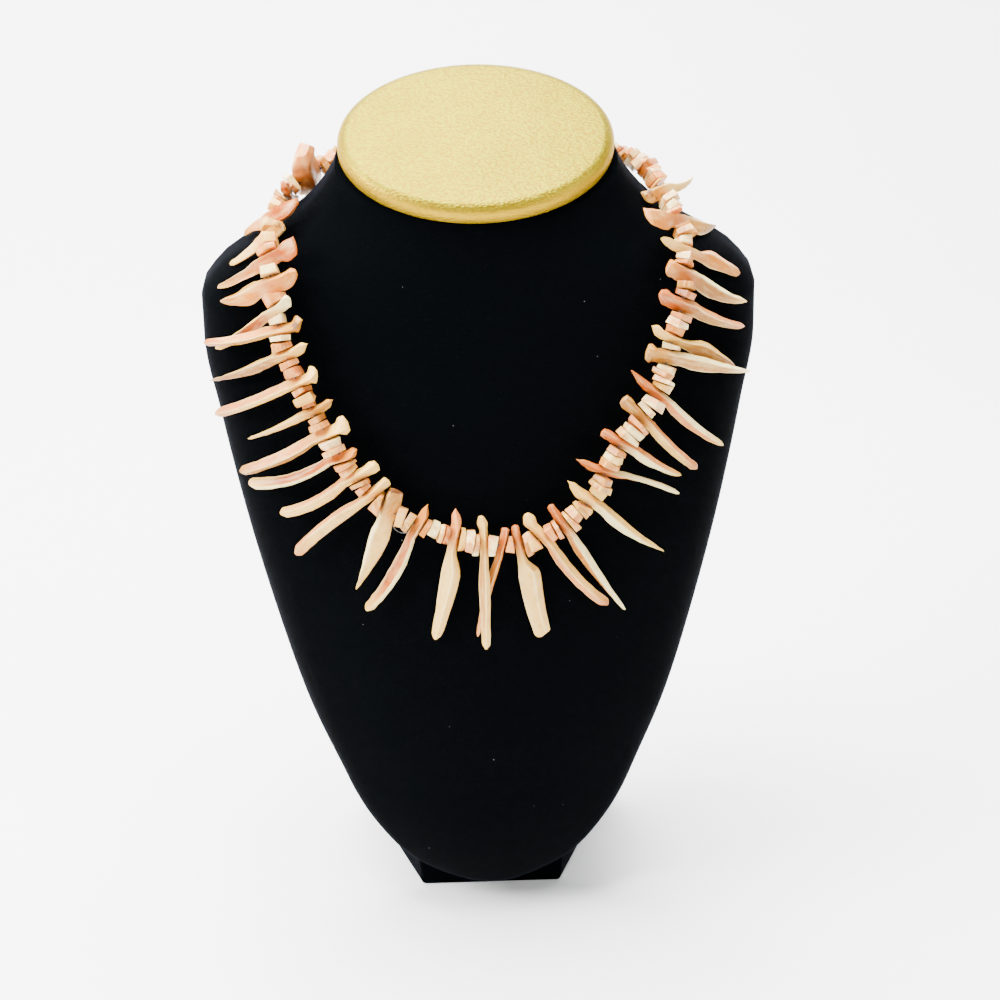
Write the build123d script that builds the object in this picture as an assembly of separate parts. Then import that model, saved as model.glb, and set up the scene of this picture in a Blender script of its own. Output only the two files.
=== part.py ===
from build123d import *
from collections import namedtuple
from math import acos, atan2, cos, degrees, pi, radians, sin, sqrt, tan
import os
import random

# A necklace of shell tusks and shell chips on a neck bust, in millimetres, +Z up.
# The origin is the middle of the foot's sole, -Y is the front, and the left is -X.

# Neck bust
FORM_WIDTH = 194.0        # across the shoulders
FORM_HEIGHT = 282.5       # floor to the middle of the sloping neck cut
FORM_LEAN = 60.0          # unit of the lean column below
CHEST_DEPTH = 40.0        # how far the chest bows forward of the form's side wall
NECK_DEPTH = 27.0         # how far the back of the neck bows behind the side wall
FORM_RIM = 6.0            # height of the flat side wall between front and back
CORNER_SHARE = 0.62       # radius of an arch's corners over its rise

# Cap on the neck
CAP_HALF_WIDTH = 47.5
CAP_HALF_DEPTH = 35.8
CAP_THICKNESS = 7.0
CAP_ROLL = 4.0            # radius of the padded edge
CAP_TILT = 26.0           # degrees, forwards
CAP_SETBACK = 19.0        # middle of the cap behind the middle of the foot

# Foot
FOOT_FRONT = 53.0
FOOT_DEPTH = 56.0
FOOT_HEIGHT = 62.0
FOOT_FLARE = 22.0         # degrees that each side opens to the back
FOOT_RAKE = 13.0          # degrees that the front face leans back
FOOT_ROUND = 1.2
SEAT_GAP = 0.2            # the form's notch over the foot, and under the cap

# Strand
THREAD_RADIUS = 0.3
HOLE_RADIUS = 0.6
CLASP_LENGTH = 10.0
CLASP_RADIUS = 2.2
CLASP_CHAMFER = 0.7
BEAD_GAP = 0.16           # air between neighbours on the thread

# Chips
CHIP_RADIUS = 4.25
CHIP_UNDER = 3.65         # from the thread to the side of a chip that lies on the velvet
CHIP_THICKNESS = 2.35
CHIP_TAPER = 25.0         # distance from a chip's middle to the point that its sides meet in
CHIP_SEED = 7

# Tusks
TUSK_LENGTH = 34.0
TUSK_WIDTH = 5.0
TUSK_DEPTH = 5.4
TUSK_NECK = 5.2           # half of the stretch that runs between the neighbouring chips
TUSK_REST = 0.4           # air between a tusk's lowest place and the velvet
TUSK_BULGE = 0.04         # rise of a rounded face over its chord
TUSK_TROUGH = -0.15       # the same of a hollow face
FLAT_BULGE = 0.005        # a face with less than this is drawn flat

# Sections of the form: up is a share of FORM_HEIGHT, out of half the FORM_WIDTH, lean of
# FORM_LEAN, rim of FORM_RIM, front of CHEST_DEPTH and back of NECK_DEPTH.
FormRow = namedtuple("FormRow", "up out lean rim front back")
FORM_ROWS = [
    FormRow(0.036, 0.103, -0.580, 0.50, 0.075, 0.11),
    FormRow(0.049, 0.196, -0.547, 0.65, 0.160, 0.17),
    FormRow(0.073, 0.321, -0.487, 0.85, 0.310, 0.20),
    FormRow(0.106, 0.411, -0.450, 1.00, 0.427, 0.20),
    FormRow(0.159, 0.511, -0.400, 1.00, 0.560, 0.20),
    FormRow(0.212, 0.580, -0.340, 1.00, 0.660, 0.20),
    FormRow(0.301, 0.685, -0.250, 1.00, 0.800, 0.20),
    FormRow(0.425, 0.790, -0.133, 1.00, 0.925, 0.22),
    FormRow(0.566, 0.889, 0.000, 1.00, 1.000, 0.26),
    FormRow(0.690, 0.959, 0.117, 1.00, 0.990, 0.30),
    FormRow(0.779, 1.000, 0.192, 1.00, 0.910, 0.35),
    FormRow(0.832, 1.000, 0.233, 1.00, 0.850, 0.41),
    FormRow(0.874, 0.913, 0.267, 1.00, 0.800, 0.47),
    FormRow(0.910, 0.726, 0.292, 1.00, 0.755, 0.58),
    FormRow(0.945, 0.590, 0.308, 1.00, 0.705, 0.74),
    FormRow(0.991, 0.500, 0.325, 1.00, 0.660, 0.94),
    FormRow(1.069, 0.454, 0.367, 1.00, 0.650, 1.00),
]

# The strand's route from one end of the clasp, down the left, across the chest and up the right.
ROUTE = [
    (-2.0, 52.0, 276.5), (-20.0, 50.6, 276.0), (-38.5, 45.8, 274.4), (-53.0, 36.2, 271.2),
    (-62.4, 25.6, 268.4), (-69.0, 14.0, 265.0), (-70.8, 0.0, 260.0), (-71.5, -9.0, 253.5),
    (-69.5, -17.0, 243.0), (-68.2, -21.5, 232.0), (-65.0, -25.5, 222.0), (-59.8, -30.0, 211.0),
    (-52.0, -35.3, 198.0), (-42.0, -40.2, 183.0), (-29.5, -44.1, 172.5), (-15.0, -46.2, 167.5),
    (0.0, -47.0, 162.5), (14.0, -46.7, 162.3), (28.5, -44.5, 170.0), (38.5, -41.5, 178.5),
    (43.0, -38.2, 190.0), (50.0, -35.1, 199.0), (58.5, -31.2, 207.5), (62.2, -26.8, 219.0),
    (65.8, -22.3, 231.0), (69.3, -17.3, 242.5), (69.8, -11.5, 252.0), (69.8, -4.0, 258.5),
    (66.2, 3.8, 264.2), (62.9, 13.4, 267.6), (60.2, 23.9, 270.2), (53.4, 36.6, 272.3),
    (38.5, 45.8, 274.0), (20.0, 50.6, 275.8), (2.0, 52.0, 276.5),
]
CORNER_CUT = 0.45         # share of the shorter run that a corner's arc takes

# Tusks, in order along the strand. at is a share of the strand's length; over and reach are
# shares of TUSK_LENGTH to the inner end and to the tip; swing is degrees towards the right
# end of the strand; bow is the middle's sideways bow over the reach; head, neck, belly and
# tip are widths as shares of TUSK_WIDTH, and low is where the belly comes; deep is a share of
# TUSK_DEPTH; ridge is where the outer ridge runs, from -1 to 1; twist is degrees from neck to
# tip; hollow says which outer face is a trough, -1 the left one and 1 the right one; lift is
# how far the tip is held off by what lies under it, and proud is how far the whole tusk stands
# out from the thread, as shares of TUSK_DEPTH; side says where the belly's width past the neck
# lies, from -1, all to the left, to 1, all to the right.
Tusk = namedtuple(
    "Tusk", "at over reach swing bow head neck belly low tip deep ridge twist hollow lift proud side",
    defaults=[0.0, 0.0],
)
TUSKS = [
    Tusk(0.131, 0.31, 0.30, -20, 0.00, 2.35, 2.35, 2.10, 0.60, 1.30, 2.30, -0.6, 0, 0, 0.6, 0.44),
    Tusk(0.157, 0.26, 0.46, -36, 0.00, 0.80, 0.70, 1.50, 0.62, 0.90, 1.20, -0.3, 0, 0, 0.0, 0.08),
    Tusk(0.184, 0.36, 0.53, -14, -0.12, 1.40, 1.30, 1.50, 0.42, 0.60, 1.05, -0.2, 10, 0, 0.0),
    Tusk(0.203, 0.17, 0.54, 14, 0.06, 0.90, 0.75, 0.80, 0.42, 0.40, 0.90, -0.4, 15, 0, 0.0),
    Tusk(0.224, 0.34, 0.66, 9, 0.03, 1.65, 0.95, 0.80, 0.34, 0.30, 0.95, -0.5, 10, 1, 0.0),
    Tusk(0.242, 0.30, 0.63, -1, 0.06, 1.30, 1.30, 1.55, 0.40, 0.40, 0.95, -0.3, 10, 0, 0.0),
    Tusk(0.260, 0.20, 0.85, 20, 0.03, 0.90, 0.75, 0.80, 0.36, 0.50, 0.90, -0.5, 15, 1, 0.0),
    Tusk(0.274, 0.26, 0.84, -1, 0.04, 1.15, 0.75, 0.74, 0.34, 0.50, 1.00, 0.4, 10, 0, 0.9),
    Tusk(0.292, 0.27, 0.99, 1, 0.03, 0.70, 0.75, 0.80, 0.38, 0.16, 1.00, -0.4, 20, 0, 0.0),
    Tusk(0.313, 0.25, 1.08, -3, 0.02, 1.25, 0.80, 0.78, 0.32, 0.70, 1.00, 0.3, 10, 0, 0.0),
    Tusk(0.336, 0.26, 0.84, -5, 0.02, 0.60, 0.65, 0.55, 0.34, 0.18, 0.90, -0.3, 20, 0, 0.0),
    Tusk(0.354, 0.27, 1.13, -5, 0.04, 1.35, 0.80, 0.92, 0.36, 0.75, 1.00, 0.5, 10, 0, 0.0),
    Tusk(0.374, 0.18, 1.12, -13, 0.08, 0.50, 0.70, 0.80, 0.46, 0.90, 1.00, 0.5, 10, -1, 0.0),
    Tusk(0.391, 0.28, 0.97, -7, 0.07, 0.90, 0.80, 0.85, 0.36, 0.80, 1.00, -0.3, 10, 0, 0.0),
    Tusk(0.408, 0.24, 1.12, -5, -0.03, 0.75, 0.75, 0.90, 0.34, 0.88, 1.00, -0.4, 15, 0, 0.0),
    Tusk(0.425, 0.23, 0.99, 14, 0.02, 1.12, 1.22, 1.42, 0.32, 0.22, 0.95, -0.6, 5, 0, 0.0),
    Tusk(0.448, 0.24, 1.14, -10, 0.05, 0.40, 0.70, 0.98, 0.50, 0.75, 1.00, 0.5, 10, -1, 0.0),
    Tusk(0.475, 0.30, 1.20, 8, 0.01, 0.65, 0.70, 1.40, 0.36, 0.80, 0.95, 0.3, 25, 0, 0.0, 0.0, 0.5),
    Tusk(0.497, 0.29, 1.13, 11, 0.00, 0.75, 0.60, 0.82, 0.40, 0.62, 0.90, 0.3, 20, 0, 1.1),
    Tusk(0.510, 0.19, 1.08, -12, -0.02, 0.60, 0.55, 0.58, 0.34, 0.30, 0.80, 0.4, 10, 0, 0.0),
    Tusk(0.522, 0.21, 1.10, 4, -0.03, 0.60, 0.60, 1.60, 0.34, 1.20, 0.90, 0.4, 5, 0, 0.0, 0.0, 0.8),
    Tusk(0.540, 0.30, 1.08, 11, -0.05, 0.95, 0.75, 0.85, 0.40, 0.85, 1.00, 0.2, 10, 0, 0.0),
    Tusk(0.557, 0.25, 1.23, 0, -0.02, 0.55, 0.65, 0.90, 0.34, 0.36, 0.95, 0.3, 45, 0, 0.0),
    Tusk(0.583, 0.33, 1.04, 3, -0.04, 0.60, 0.80, 0.92, 0.34, 0.22, 1.00, 0.3, 10, 0, 0.0),
    Tusk(0.607, 0.35, 0.88, 0, 0.03, 0.50, 0.62, 0.50, 0.34, 0.24, 0.90, 0.2, 60, 0, 0.0),
    Tusk(0.630, 0.26, 0.79, 4, -0.04, 0.70, 0.75, 0.82, 0.34, 0.42, 1.00, 0.3, 10, 0, 0.0),
    Tusk(0.653, 0.31, 0.90, -1, -0.03, 0.95, 0.75, 0.76, 0.34, 0.62, 1.00, 0.3, 10, 0, 0.0),
    Tusk(0.673, 0.40, 1.03, -16, -0.04, 0.50, 0.68, 0.82, 0.34, 0.48, 1.00, 0.3, 20, 0, 0.0),
    Tusk(0.700, 0.24, 0.96, 3, -0.02, 1.30, 1.02, 1.10, 0.34, 0.28, 1.00, 0.5, 5, 0, 0.6),
    Tusk(0.713, 0.28, 0.84, -9, 0.03, 0.70, 0.65, 1.30, 0.46, 0.36, 0.85, 0.6, 5, -1, 0.0),
    Tusk(0.738, 0.28, 0.81, -4, -0.05, 1.10, 1.02, 0.92, 0.36, 0.46, 1.00, 0.3, 10, 0, 0.0),
    Tusk(0.759, 0.22, 0.79, -15, -0.06, 1.20, 1.15, 1.22, 0.34, 0.40, 1.00, 0.5, 10, 0, 0.0),
    Tusk(0.777, 0.29, 0.71, -7, 0.00, 0.60, 0.65, 1.35, 0.48, 0.75, 0.90, 0.4, 5, 0, 0.0, 0.0, 0.5),
    Tusk(0.801, 0.50, 0.72, 6, -0.05, 1.85, 1.10, 1.60, 0.40, 0.24, 1.05, 0.3, 10, 0, 0.0),
    Tusk(0.832, 0.24, 0.58, 33, -0.08, 1.15, 1.10, 0.85, 0.38, 0.20, 0.95, 0.2, 10, 0, 2.4),
]

HALF_WIDTH = FORM_WIDTH / 2
CAP_CENTRE = Vector(0, CAP_SETBACK, FORM_HEIGHT)
CAP_NORMAL = Vector(0, -sin(radians(CAP_TILT)), cos(radians(CAP_TILT)))


def smooth_value(xs, ys, x):
    """A curve through the given values that never overshoots them."""
    runs = [b - a for a, b in zip(xs, xs[1:])]
    slopes = [(b - a) / run for a, b, run in zip(ys, ys[1:], runs)]
    tangents = [slopes[0]]
    for (run0, run1), (slope0, slope1) in zip(zip(runs, runs[1:]), zip(slopes, slopes[1:])):
        weight0 = 2 * run1 + run0
        weight1 = run1 + 2 * run0
        same_way = slope0 * slope1 > 0
        tangents.append((weight0 + weight1) / (weight0 / slope0 + weight1 / slope1) if same_way else 0.0)
    tangents.append(slopes[-1])
    i = max(0, min(len(runs) - 1, sum(1 for value in xs if value <= x) - 1))
    t = (x - xs[i]) / runs[i]
    start = (1 + 2 * t) * (1 - t) ** 2 * ys[i] + t * (1 - t) ** 2 * runs[i] * tangents[i]
    return start + t * t * (3 - 2 * t) * ys[i + 1] + t * t * (t - 1) * runs[i] * tangents[i + 1]


FormShape = namedtuple("FormShape", "out middle rim front back")


def form_shape(z):
    """Half width, middle, side wall, and rises of the front and back arches at a height."""
    ups = [row.up for row in FORM_ROWS]
    out, lean, rim, front, back = [
        smooth_value(ups, [getattr(row, name) for row in FORM_ROWS], z / FORM_HEIGHT)
        for name in ("out", "lean", "rim", "front", "back")
    ]
    return FormShape(out * HALF_WIDTH, lean * FORM_LEAN, rim * FORM_RIM, front * CHEST_DEPTH,
                     back * NECK_DEPTH)


def arch_points(span, rise):
    """Points of half a three-centred arch: its end, corner arc, shoulder and crown."""
    corner = CORNER_SHARE * rise
    drop = ((span - corner) ** 2 - (rise - corner) ** 2) / (2 * (rise - corner))
    crown = drop + rise
    shoulder = crown / (crown - corner) * (span - corner)
    height = sqrt(crown ** 2 - shoulder ** 2) - drop
    half_turn = atan2(height, shoulder - span + corner) / 2
    corner_mid = (span - corner + corner * cos(half_turn), corner * sin(half_turn))
    return corner_mid, (shoulder, height)


def form_wire(z):
    """The form's outline at a height: two flat side walls and two three-centred arches."""
    shape = form_shape(z)
    wall = shape.rim / 2
    edges = []
    ends = {}
    for side, rise in ((-1, shape.front), (1, shape.back)):
        (mid_x, mid_rise), (shoulder, height) = arch_points(shape.out, rise)

        def place(x, up):
            return Vector(x, shape.middle + side * (wall + up), z)

        first = -side
        ends[side] = (place(first * shape.out, 0), place(side * shape.out, 0))
        edges += [
            Edge.make_three_point_arc(ends[side][0], place(first * mid_x, mid_rise),
                                      place(first * shoulder, height)),
            Edge.make_three_point_arc(place(first * shoulder, height), place(0, rise),
                                      place(side * shoulder, height)),
            Edge.make_three_point_arc(place(side * shoulder, height), place(side * mid_x, mid_rise),
                                      ends[side][1]),
        ]
        other_end = place(side * shape.out, 0)
        edges.append(Edge.make_line(other_end, Vector(side * shape.out, shape.middle - side * wall, z)))
    return Wire(edges)


def outside(point):
    """1 on the form's surface, more outside it and less inside."""
    shape = form_shape(point.Z)
    rise = (shape.front if point.Y < shape.middle else shape.back) + shape.rim / 2
    return ((abs(point.X) / shape.out) ** 2.5 + (abs(point.Y - shape.middle) / rise) ** 2.5) ** 0.4


def outward(point):
    """The direction that points away from the form's surface."""
    step = 0.5
    slopes = [outside(point + axis * step) - outside(point - axis * step)
              for axis in (Vector(1, 0, 0), Vector(0, 1, 0), Vector(0, 0, 1))]
    return Vector(*slopes).normalized()


def height_over(point):
    """How far a point lies over the form's surface, along the outward direction."""
    way = outward(point)
    near, far = -10.0, 30.0
    for _ in range(24):
        middle = (near + far) / 2
        if outside(point - way * middle) > 1:
            near = middle
        else:
            far = middle
    return near


Span = namedtuple("Span", "start heading length centre radius")


def strand_spans():
    """The strand's straight runs and the arcs that join them."""
    points = [Vector(*point) for point in ROUTE]
    spans = []
    leave = points[0]
    for before, corner, after in zip(points, points[1:], points[2:]):
        way_in = (corner - before).normalized()
        way_out = (after - corner).normalized()
        turn = radians(way_in.get_angle(way_out))
        cut = CORNER_CUT * min((corner - before).length, (after - corner).length)
        radius = cut / tan(turn / 2)
        start = corner - way_in * cut
        inwards = (way_out - way_in * way_in.dot(way_out)).normalized()
        spans.append(Span(leave, way_in, (start - leave).length, None, None))
        spans.append(Span(start, way_in, radius * turn, start + inwards * radius, radius))
        leave = corner + way_out * cut
    spans.append(Span(leave, (points[-1] - leave).normalized(), (points[-1] - leave).length, None, None))
    return spans


STRAND = strand_spans()
STRAND_LENGTH = sum(span.length for span in STRAND)


def on_span(span, run):
    """Place and heading at a distance along a span."""
    if span.centre is None:
        return span.start + span.heading * run, span.heading
    turn = run / span.radius
    arm = (span.start - span.centre) * (1 / span.radius)
    place = span.centre + (arm * cos(turn) + span.heading * sin(turn)) * span.radius
    return place, span.heading * cos(turn) - arm * sin(turn)


Seat = namedtuple("Seat", "place along out down")


def seat_at(station):
    """Place on the strand, with the ways along it, out from the form and away from the neck."""
    for span in STRAND:
        if station <= span.length:
            break
        station -= span.length
    place, along = on_span(span, min(station, span.length))
    away = outward(place)
    out = (away - along * away.dot(along)).normalized()
    return Seat(place, along, out, along.cross(out))


def turned(seat, swing):
    """The seat with its along and down ways turned about the out way by degrees."""
    c, s = cos(radians(swing)), sin(radians(swing))
    return Seat(seat.place, seat.along * c - seat.down * s, seat.out, seat.down * c + seat.along * s)


def make_thread():
    edges = []
    for span in STRAND:
        end = on_span(span, span.length)[0]
        if span.centre is None:
            edges.append(Edge.make_line(span.start, end))
        else:
            edges.append(Edge.make_three_point_arc(span.start, on_span(span, span.length / 2)[0], end))
    path = Wire(edges)
    mouth = Plane(origin=STRAND[0].start, z_dir=STRAND[0].heading)
    return sweep(mouth * Circle(THREAD_RADIUS), path=path)


def bored(solid, place, along):
    """The solid with a thread hole through it."""
    length = 4 * CHIP_RADIUS
    axis = Plane(origin=place - along * (length / 2), z_dir=along)
    return solid - axis * Cylinder(HOLE_RADIUS, length, align=(Align.CENTER, Align.CENTER, Align.MIN))


def make_clasp():
    """A plain barrel that the two ends of the thread go into."""
    middle = (Vector(*ROUTE[0]) + Vector(*ROUTE[-1])) * 0.5
    barrel = Plane(origin=middle, z_dir=Vector(1, 0, 0)) * Cylinder(CLASP_RADIUS, CLASP_LENGTH)
    barrel = chamfer(barrel.edges().filter_by(GeomType.CIRCLE), CLASP_CHAMFER)
    return bored(barrel, middle, Vector(1, 0, 0))


Stage = namedtuple("Stage", "run width depth trough twist")


def tusk_stages(tusk):
    """Distances along the tusk from its hole, with the section's sizes there."""
    over = tusk.over * TUSK_LENGTH
    reach = tusk.reach * TUSK_LENGTH
    head, neck, belly, tip = [share * TUSK_WIDTH for share in (tusk.head, tusk.neck, tusk.belly, tusk.tip)]
    deep = tusk.deep * TUSK_DEPTH
    knob = TUSK_NECK + (over - TUSK_NECK) * 0.45
    return [
        Stage(-over, 0.45 * head, 0.45 * deep, 0.0, 0.0),
        Stage(-knob, head, 0.80 * deep, 0.0, 0.0),
        Stage(-TUSK_NECK * 0.9, 0.97 * neck, 0.95 * deep, 0.0, 0.0),
        Stage(0.3 * TUSK_NECK, neck, deep, 0.0, 0.0),
        Stage(TUSK_NECK, 0.97 * neck, 0.85 * deep, 0.4, 0.1),
        Stage(max(tusk.low * reach, TUSK_NECK + 2.0), belly, 0.62 * deep, 1.0, 0.4),
        Stage(0.74 * reach, 0.4 * belly + 0.6 * tip, 0.50 * deep, 1.0, 0.8),
        Stage(0.95 * reach, tip, 0.36 * deep, 0.6, 1.0),
        Stage(reach, 0.45 * tip, 0.18 * deep, 0.0, 1.0),
    ]


def tusk_way(tusk):
    """The tusk's seat, swung to its angle and leaned until it rests on the form."""
    seat = turned(seat_at(tusk.at * STRAND_LENGTH), tusk.swing)
    leans = []
    for stage in tusk_stages(tusk):
        if stage.run > TUSK_NECK:
            under = stage.depth / 2 - tusk.proud * TUSK_DEPTH + TUSK_REST
            leans.append((height_over(seat.place + seat.down * stage.run) - under) / stage.run)
    lean = min(leans) - tusk.lift * TUSK_DEPTH / (tusk.reach * TUSK_LENGTH)
    down = (seat.down - seat.out * lean).normalized()
    return Seat(seat.place, seat.along, down.cross(seat.along), down)


def bowed(tusk, run):
    """Sideways offset of the tusk's middle line at a distance from its hole."""
    free = tusk.reach * TUSK_LENGTH - TUSK_NECK
    share = max(0.0, (run - TUSK_NECK) / free)
    return tusk.bow * free * 4 * share * (1 - share)


def tusk_wire(tusk, way, stage):
    """One four-sided section: two edges, an outer ridge and a flatter inner ridge."""
    c, s = cos(radians(tusk.twist * stage.twist)), sin(radians(tusk.twist * stage.twist))
    middle = way.place + way.down * stage.run + way.along * bowed(tusk, stage.run)
    middle += way.out * (tusk.proud * TUSK_DEPTH)
    if stage.run > 0:
        middle += way.along * (tusk.side * max(0.0, stage.width - tusk.neck * TUSK_WIDTH) / 2)
    across = way.along * c + way.out * s
    up = way.out * c - way.along * s
    half = stage.width / 2
    corners = [
        (-half, -0.12 * stage.depth),
        (tusk.ridge * half, 0.5 * stage.depth),
        (half, -0.12 * stage.depth),
        (-0.3 * tusk.ridge * half, -0.5 * stage.depth),
    ]
    bulges = [TUSK_BULGE] * 4
    for face, side in ((0, -1), (1, 1)):
        if tusk.hollow == side:
            bulges[face] += (TUSK_TROUGH - TUSK_BULGE) * stage.trough
    edges = []
    for (x0, y0), (x1, y1), bulge in zip(corners, corners[1:] + corners[:1], bulges):
        mid_x = (x0 + x1) / 2 - (y1 - y0) * bulge
        mid_y = (y0 + y1) / 2 + (x1 - x0) * bulge
        a, b, m = [middle + across * x + up * y for x, y in ((x0, y0), (x1, y1), (mid_x, mid_y))]
        flat = abs(bulge) < FLAT_BULGE
        edges.append(Edge.make_line(a, b) if flat else Edge.make_three_point_arc(a, m, b))
    return Wire(edges)


def make_tusk(tusk):
    way = tusk_way(tusk)
    sections = [tusk_wire(tusk, way, stage) for stage in tusk_stages(tusk)]
    body = Solid.make_loft(sections, ruled=True)
    return bored(body, way.place, seat_at(tusk.at * STRAND_LENGTH).along)


Cut = namedtuple("Cut", "station swing place normal")


def cut_at(station, swing, nod):
    """A slanted cut across the strand: swing turns it sideways and nod tips it out."""
    seat = turned(seat_at(station), swing)
    return Cut(station, swing, seat.place, seat.along * cos(radians(nod)) + seat.out * sin(radians(nod)))


def tusk_cut(tusk, side):
    """The cut along one side of a tusk: -1 before it and 1 after it."""
    station = tusk.at * STRAND_LENGTH
    half = (tusk.neck * TUSK_WIDTH + BEAD_GAP) / 2
    seat = turned(seat_at(station), tusk.swing)
    return Cut(station + side * half, tusk.swing, seat.place + seat.along * (side * half), seat.along)


def chip_rows():
    """The rows of chips between tusks, each as the cuts that part them."""
    dice = random.Random(CHIP_SEED)
    margin = CLASP_LENGTH / 2 - ROUTE[-1][0] + BEAD_GAP
    stops = [cut_at(margin, 0, 0)]
    for tusk in TUSKS:
        stops += [tusk_cut(tusk, -1), tusk_cut(tusk, 1)]
    stops.append(cut_at(STRAND_LENGTH - margin, 0, 0))
    rows = []
    for first, last in zip(stops[::2], stops[1::2]):
        room = last.station - first.station
        count = int(room / CHIP_THICKNESS + 0.35)
        marks = [dice.uniform(0.6, 1.5) for _ in range(count)]
        row = [first]
        share = 0.0
        for mark, after in zip(marks, marks[1:]):
            share += mark / sum(marks)
            slant = 8 * min(1.0, mark, after)
            swing = first.swing + (last.swing - first.swing) * share + dice.uniform(-slant, slant)
            row.append(cut_at(first.station + room * share, swing, dice.uniform(-slant, slant)))
        if count > 0:
            rows.append(row + [last])
    return rows


def chip_outline(dice):
    """Corners of a broken tile; a large one stands further out than the thread."""
    count = dice.choice((4, 5, 5, 6))
    start = dice.uniform(0, 360)
    size = CHIP_RADIUS * dice.uniform(0.86, 1.12)
    corners = []
    for i in range(count):
        angle = radians(start + 360 * (i + dice.uniform(-0.22, 0.22)) / count)
        radius = size * dice.uniform(0.84, 1.05)
        corners.append((size - CHIP_UNDER + radius * cos(angle), radius * sin(angle)))
    return corners


def make_chip(cut0, cut1, dice):
    """A tile between two cuts, whose sides lean to a common point, with a thread hole."""
    hole = seat_at((cut0.station + cut1.station) / 2)
    seat = turned(hole, (cut0.swing + cut1.swing) / 2)
    apex = seat.place + seat.along * (CHIP_TAPER * dice.choice((-1, 1)) * dice.uniform(0.8, 2.0))
    rings = [], []
    for out, down in chip_outline(dice):
        way = seat.place + seat.out * out + seat.down * down - apex
        for ring, cut, side in ((rings[0], cut0, 1), (rings[1], cut1, -1)):
            reach = (cut.place - apex).dot(cut.normal) + side * BEAD_GAP / 2
            ring.append(apex + way * (reach / way.dot(cut.normal)))
    ring0, ring1 = rings
    faces = [Face(Wire.make_polygon(ring0)), Face(Wire.make_polygon(ring1))]
    for i in range(len(ring0)):
        j = (i + 1) % len(ring0)
        faces.append(Face(Wire.make_polygon([ring0[i], ring0[j], ring1[j], ring1[i]])))
    return bored(Solid(Shell(faces)), hole.place, hole.along)


def make_chips():
    """The chips of the left and of the right half of the strand."""
    dice = random.Random(CHIP_SEED + 1)
    halves = {"chips_left": [], "chips_right": []}
    for row in chip_rows():
        for cut0, cut1 in zip(row, row[1:]):
            side = "chips_left" if cut1.station < STRAND_LENGTH / 2 else "chips_right"
            halves[side].append(make_chip(cut0, cut1, dice))
    return halves


def make_foot(clearance=0.0):
    """A block that opens to the back, with a raked front; clearance makes its notch."""
    front = FOOT_FRONT / 2
    back = front + FOOT_DEPTH * tan(radians(FOOT_FLARE))
    plan = Polyline((-front, -FOOT_DEPTH / 2), (front, -FOOT_DEPTH / 2), (back, FOOT_DEPTH / 2),
                    (-back, FOOT_DEPTH / 2), close=True)
    block = extrude(make_face(plan), FOOT_HEIGHT)
    rake = radians(FOOT_RAKE)
    face = Plane(origin=(0, -FOOT_DEPTH / 2, 0), z_dir=(0, -cos(rake), sin(rake)))
    block = split(block, bisect_by=face, keep=Keep.BOTTOM)
    if clearance:
        return offset(block, clearance, kind=Kind.INTERSECTION)
    upright = block.edges().filter_by(lambda edge: abs(edge.tangent_at(0.5).Z) > 0.5)
    return fillet(upright, FOOT_ROUND)


def make_form():
    """The velvet form, cut at the neck for the cap and notched over the foot."""
    body = Solid.make_loft([form_wire(row.up * FORM_HEIGHT) for row in FORM_ROWS])
    neck_cut = Plane(origin=CAP_CENTRE - CAP_NORMAL * SEAT_GAP, z_dir=CAP_NORMAL)
    body = split(body, bisect_by=neck_cut, keep=Keep.BOTTOM)
    return body - make_foot(SEAT_GAP)


def make_cap():
    """A padded oval board with a rolled edge."""
    board = extrude(Plane(origin=CAP_CENTRE, x_dir=(1, 0, 0), z_dir=CAP_NORMAL)
                    * Ellipse(CAP_HALF_WIDTH, CAP_HALF_DEPTH), CAP_THICKNESS)
    top = board.faces().sort_by(Axis(CAP_CENTRE, CAP_NORMAL))[-1]
    return fillet(top.edges(), CAP_ROLL)


def save(name, solids):
    shape = solids[0] if len(solids) == 1 else Compound(children=list(solids))
    export_step(shape, f"parts/{name}.step")


def main():
    os.makedirs("parts", exist_ok=True)
    save("bust_form", [make_form()])
    save("neck_cap", [make_cap()])
    save("foot", [make_foot()])
    save("thread", [make_thread()])
    save("barrel_clasp", [make_clasp()])
    for number, tusk in enumerate(TUSKS, 1):
        save(f"tusk_{number:02d}", [make_tusk(tusk)])
    for name, chips in make_chips().items():
        save(name, chips)
    print(f"strand {STRAND_LENGTH:.1f} mm")


if __name__ == "__main__":
    main()
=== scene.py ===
"""The looks of a shell necklace on a neck bust, in metres, +Z up and -Y to the front."""

import random
from collections import namedtuple
from math import atan2, cos, pi, radians, sin, sqrt, tan

import bmesh
import bpy
from bpy.props import FloatProperty, FloatVectorProperty, IntProperty, PointerProperty
from mathutils import Matrix, Vector, noise


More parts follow.
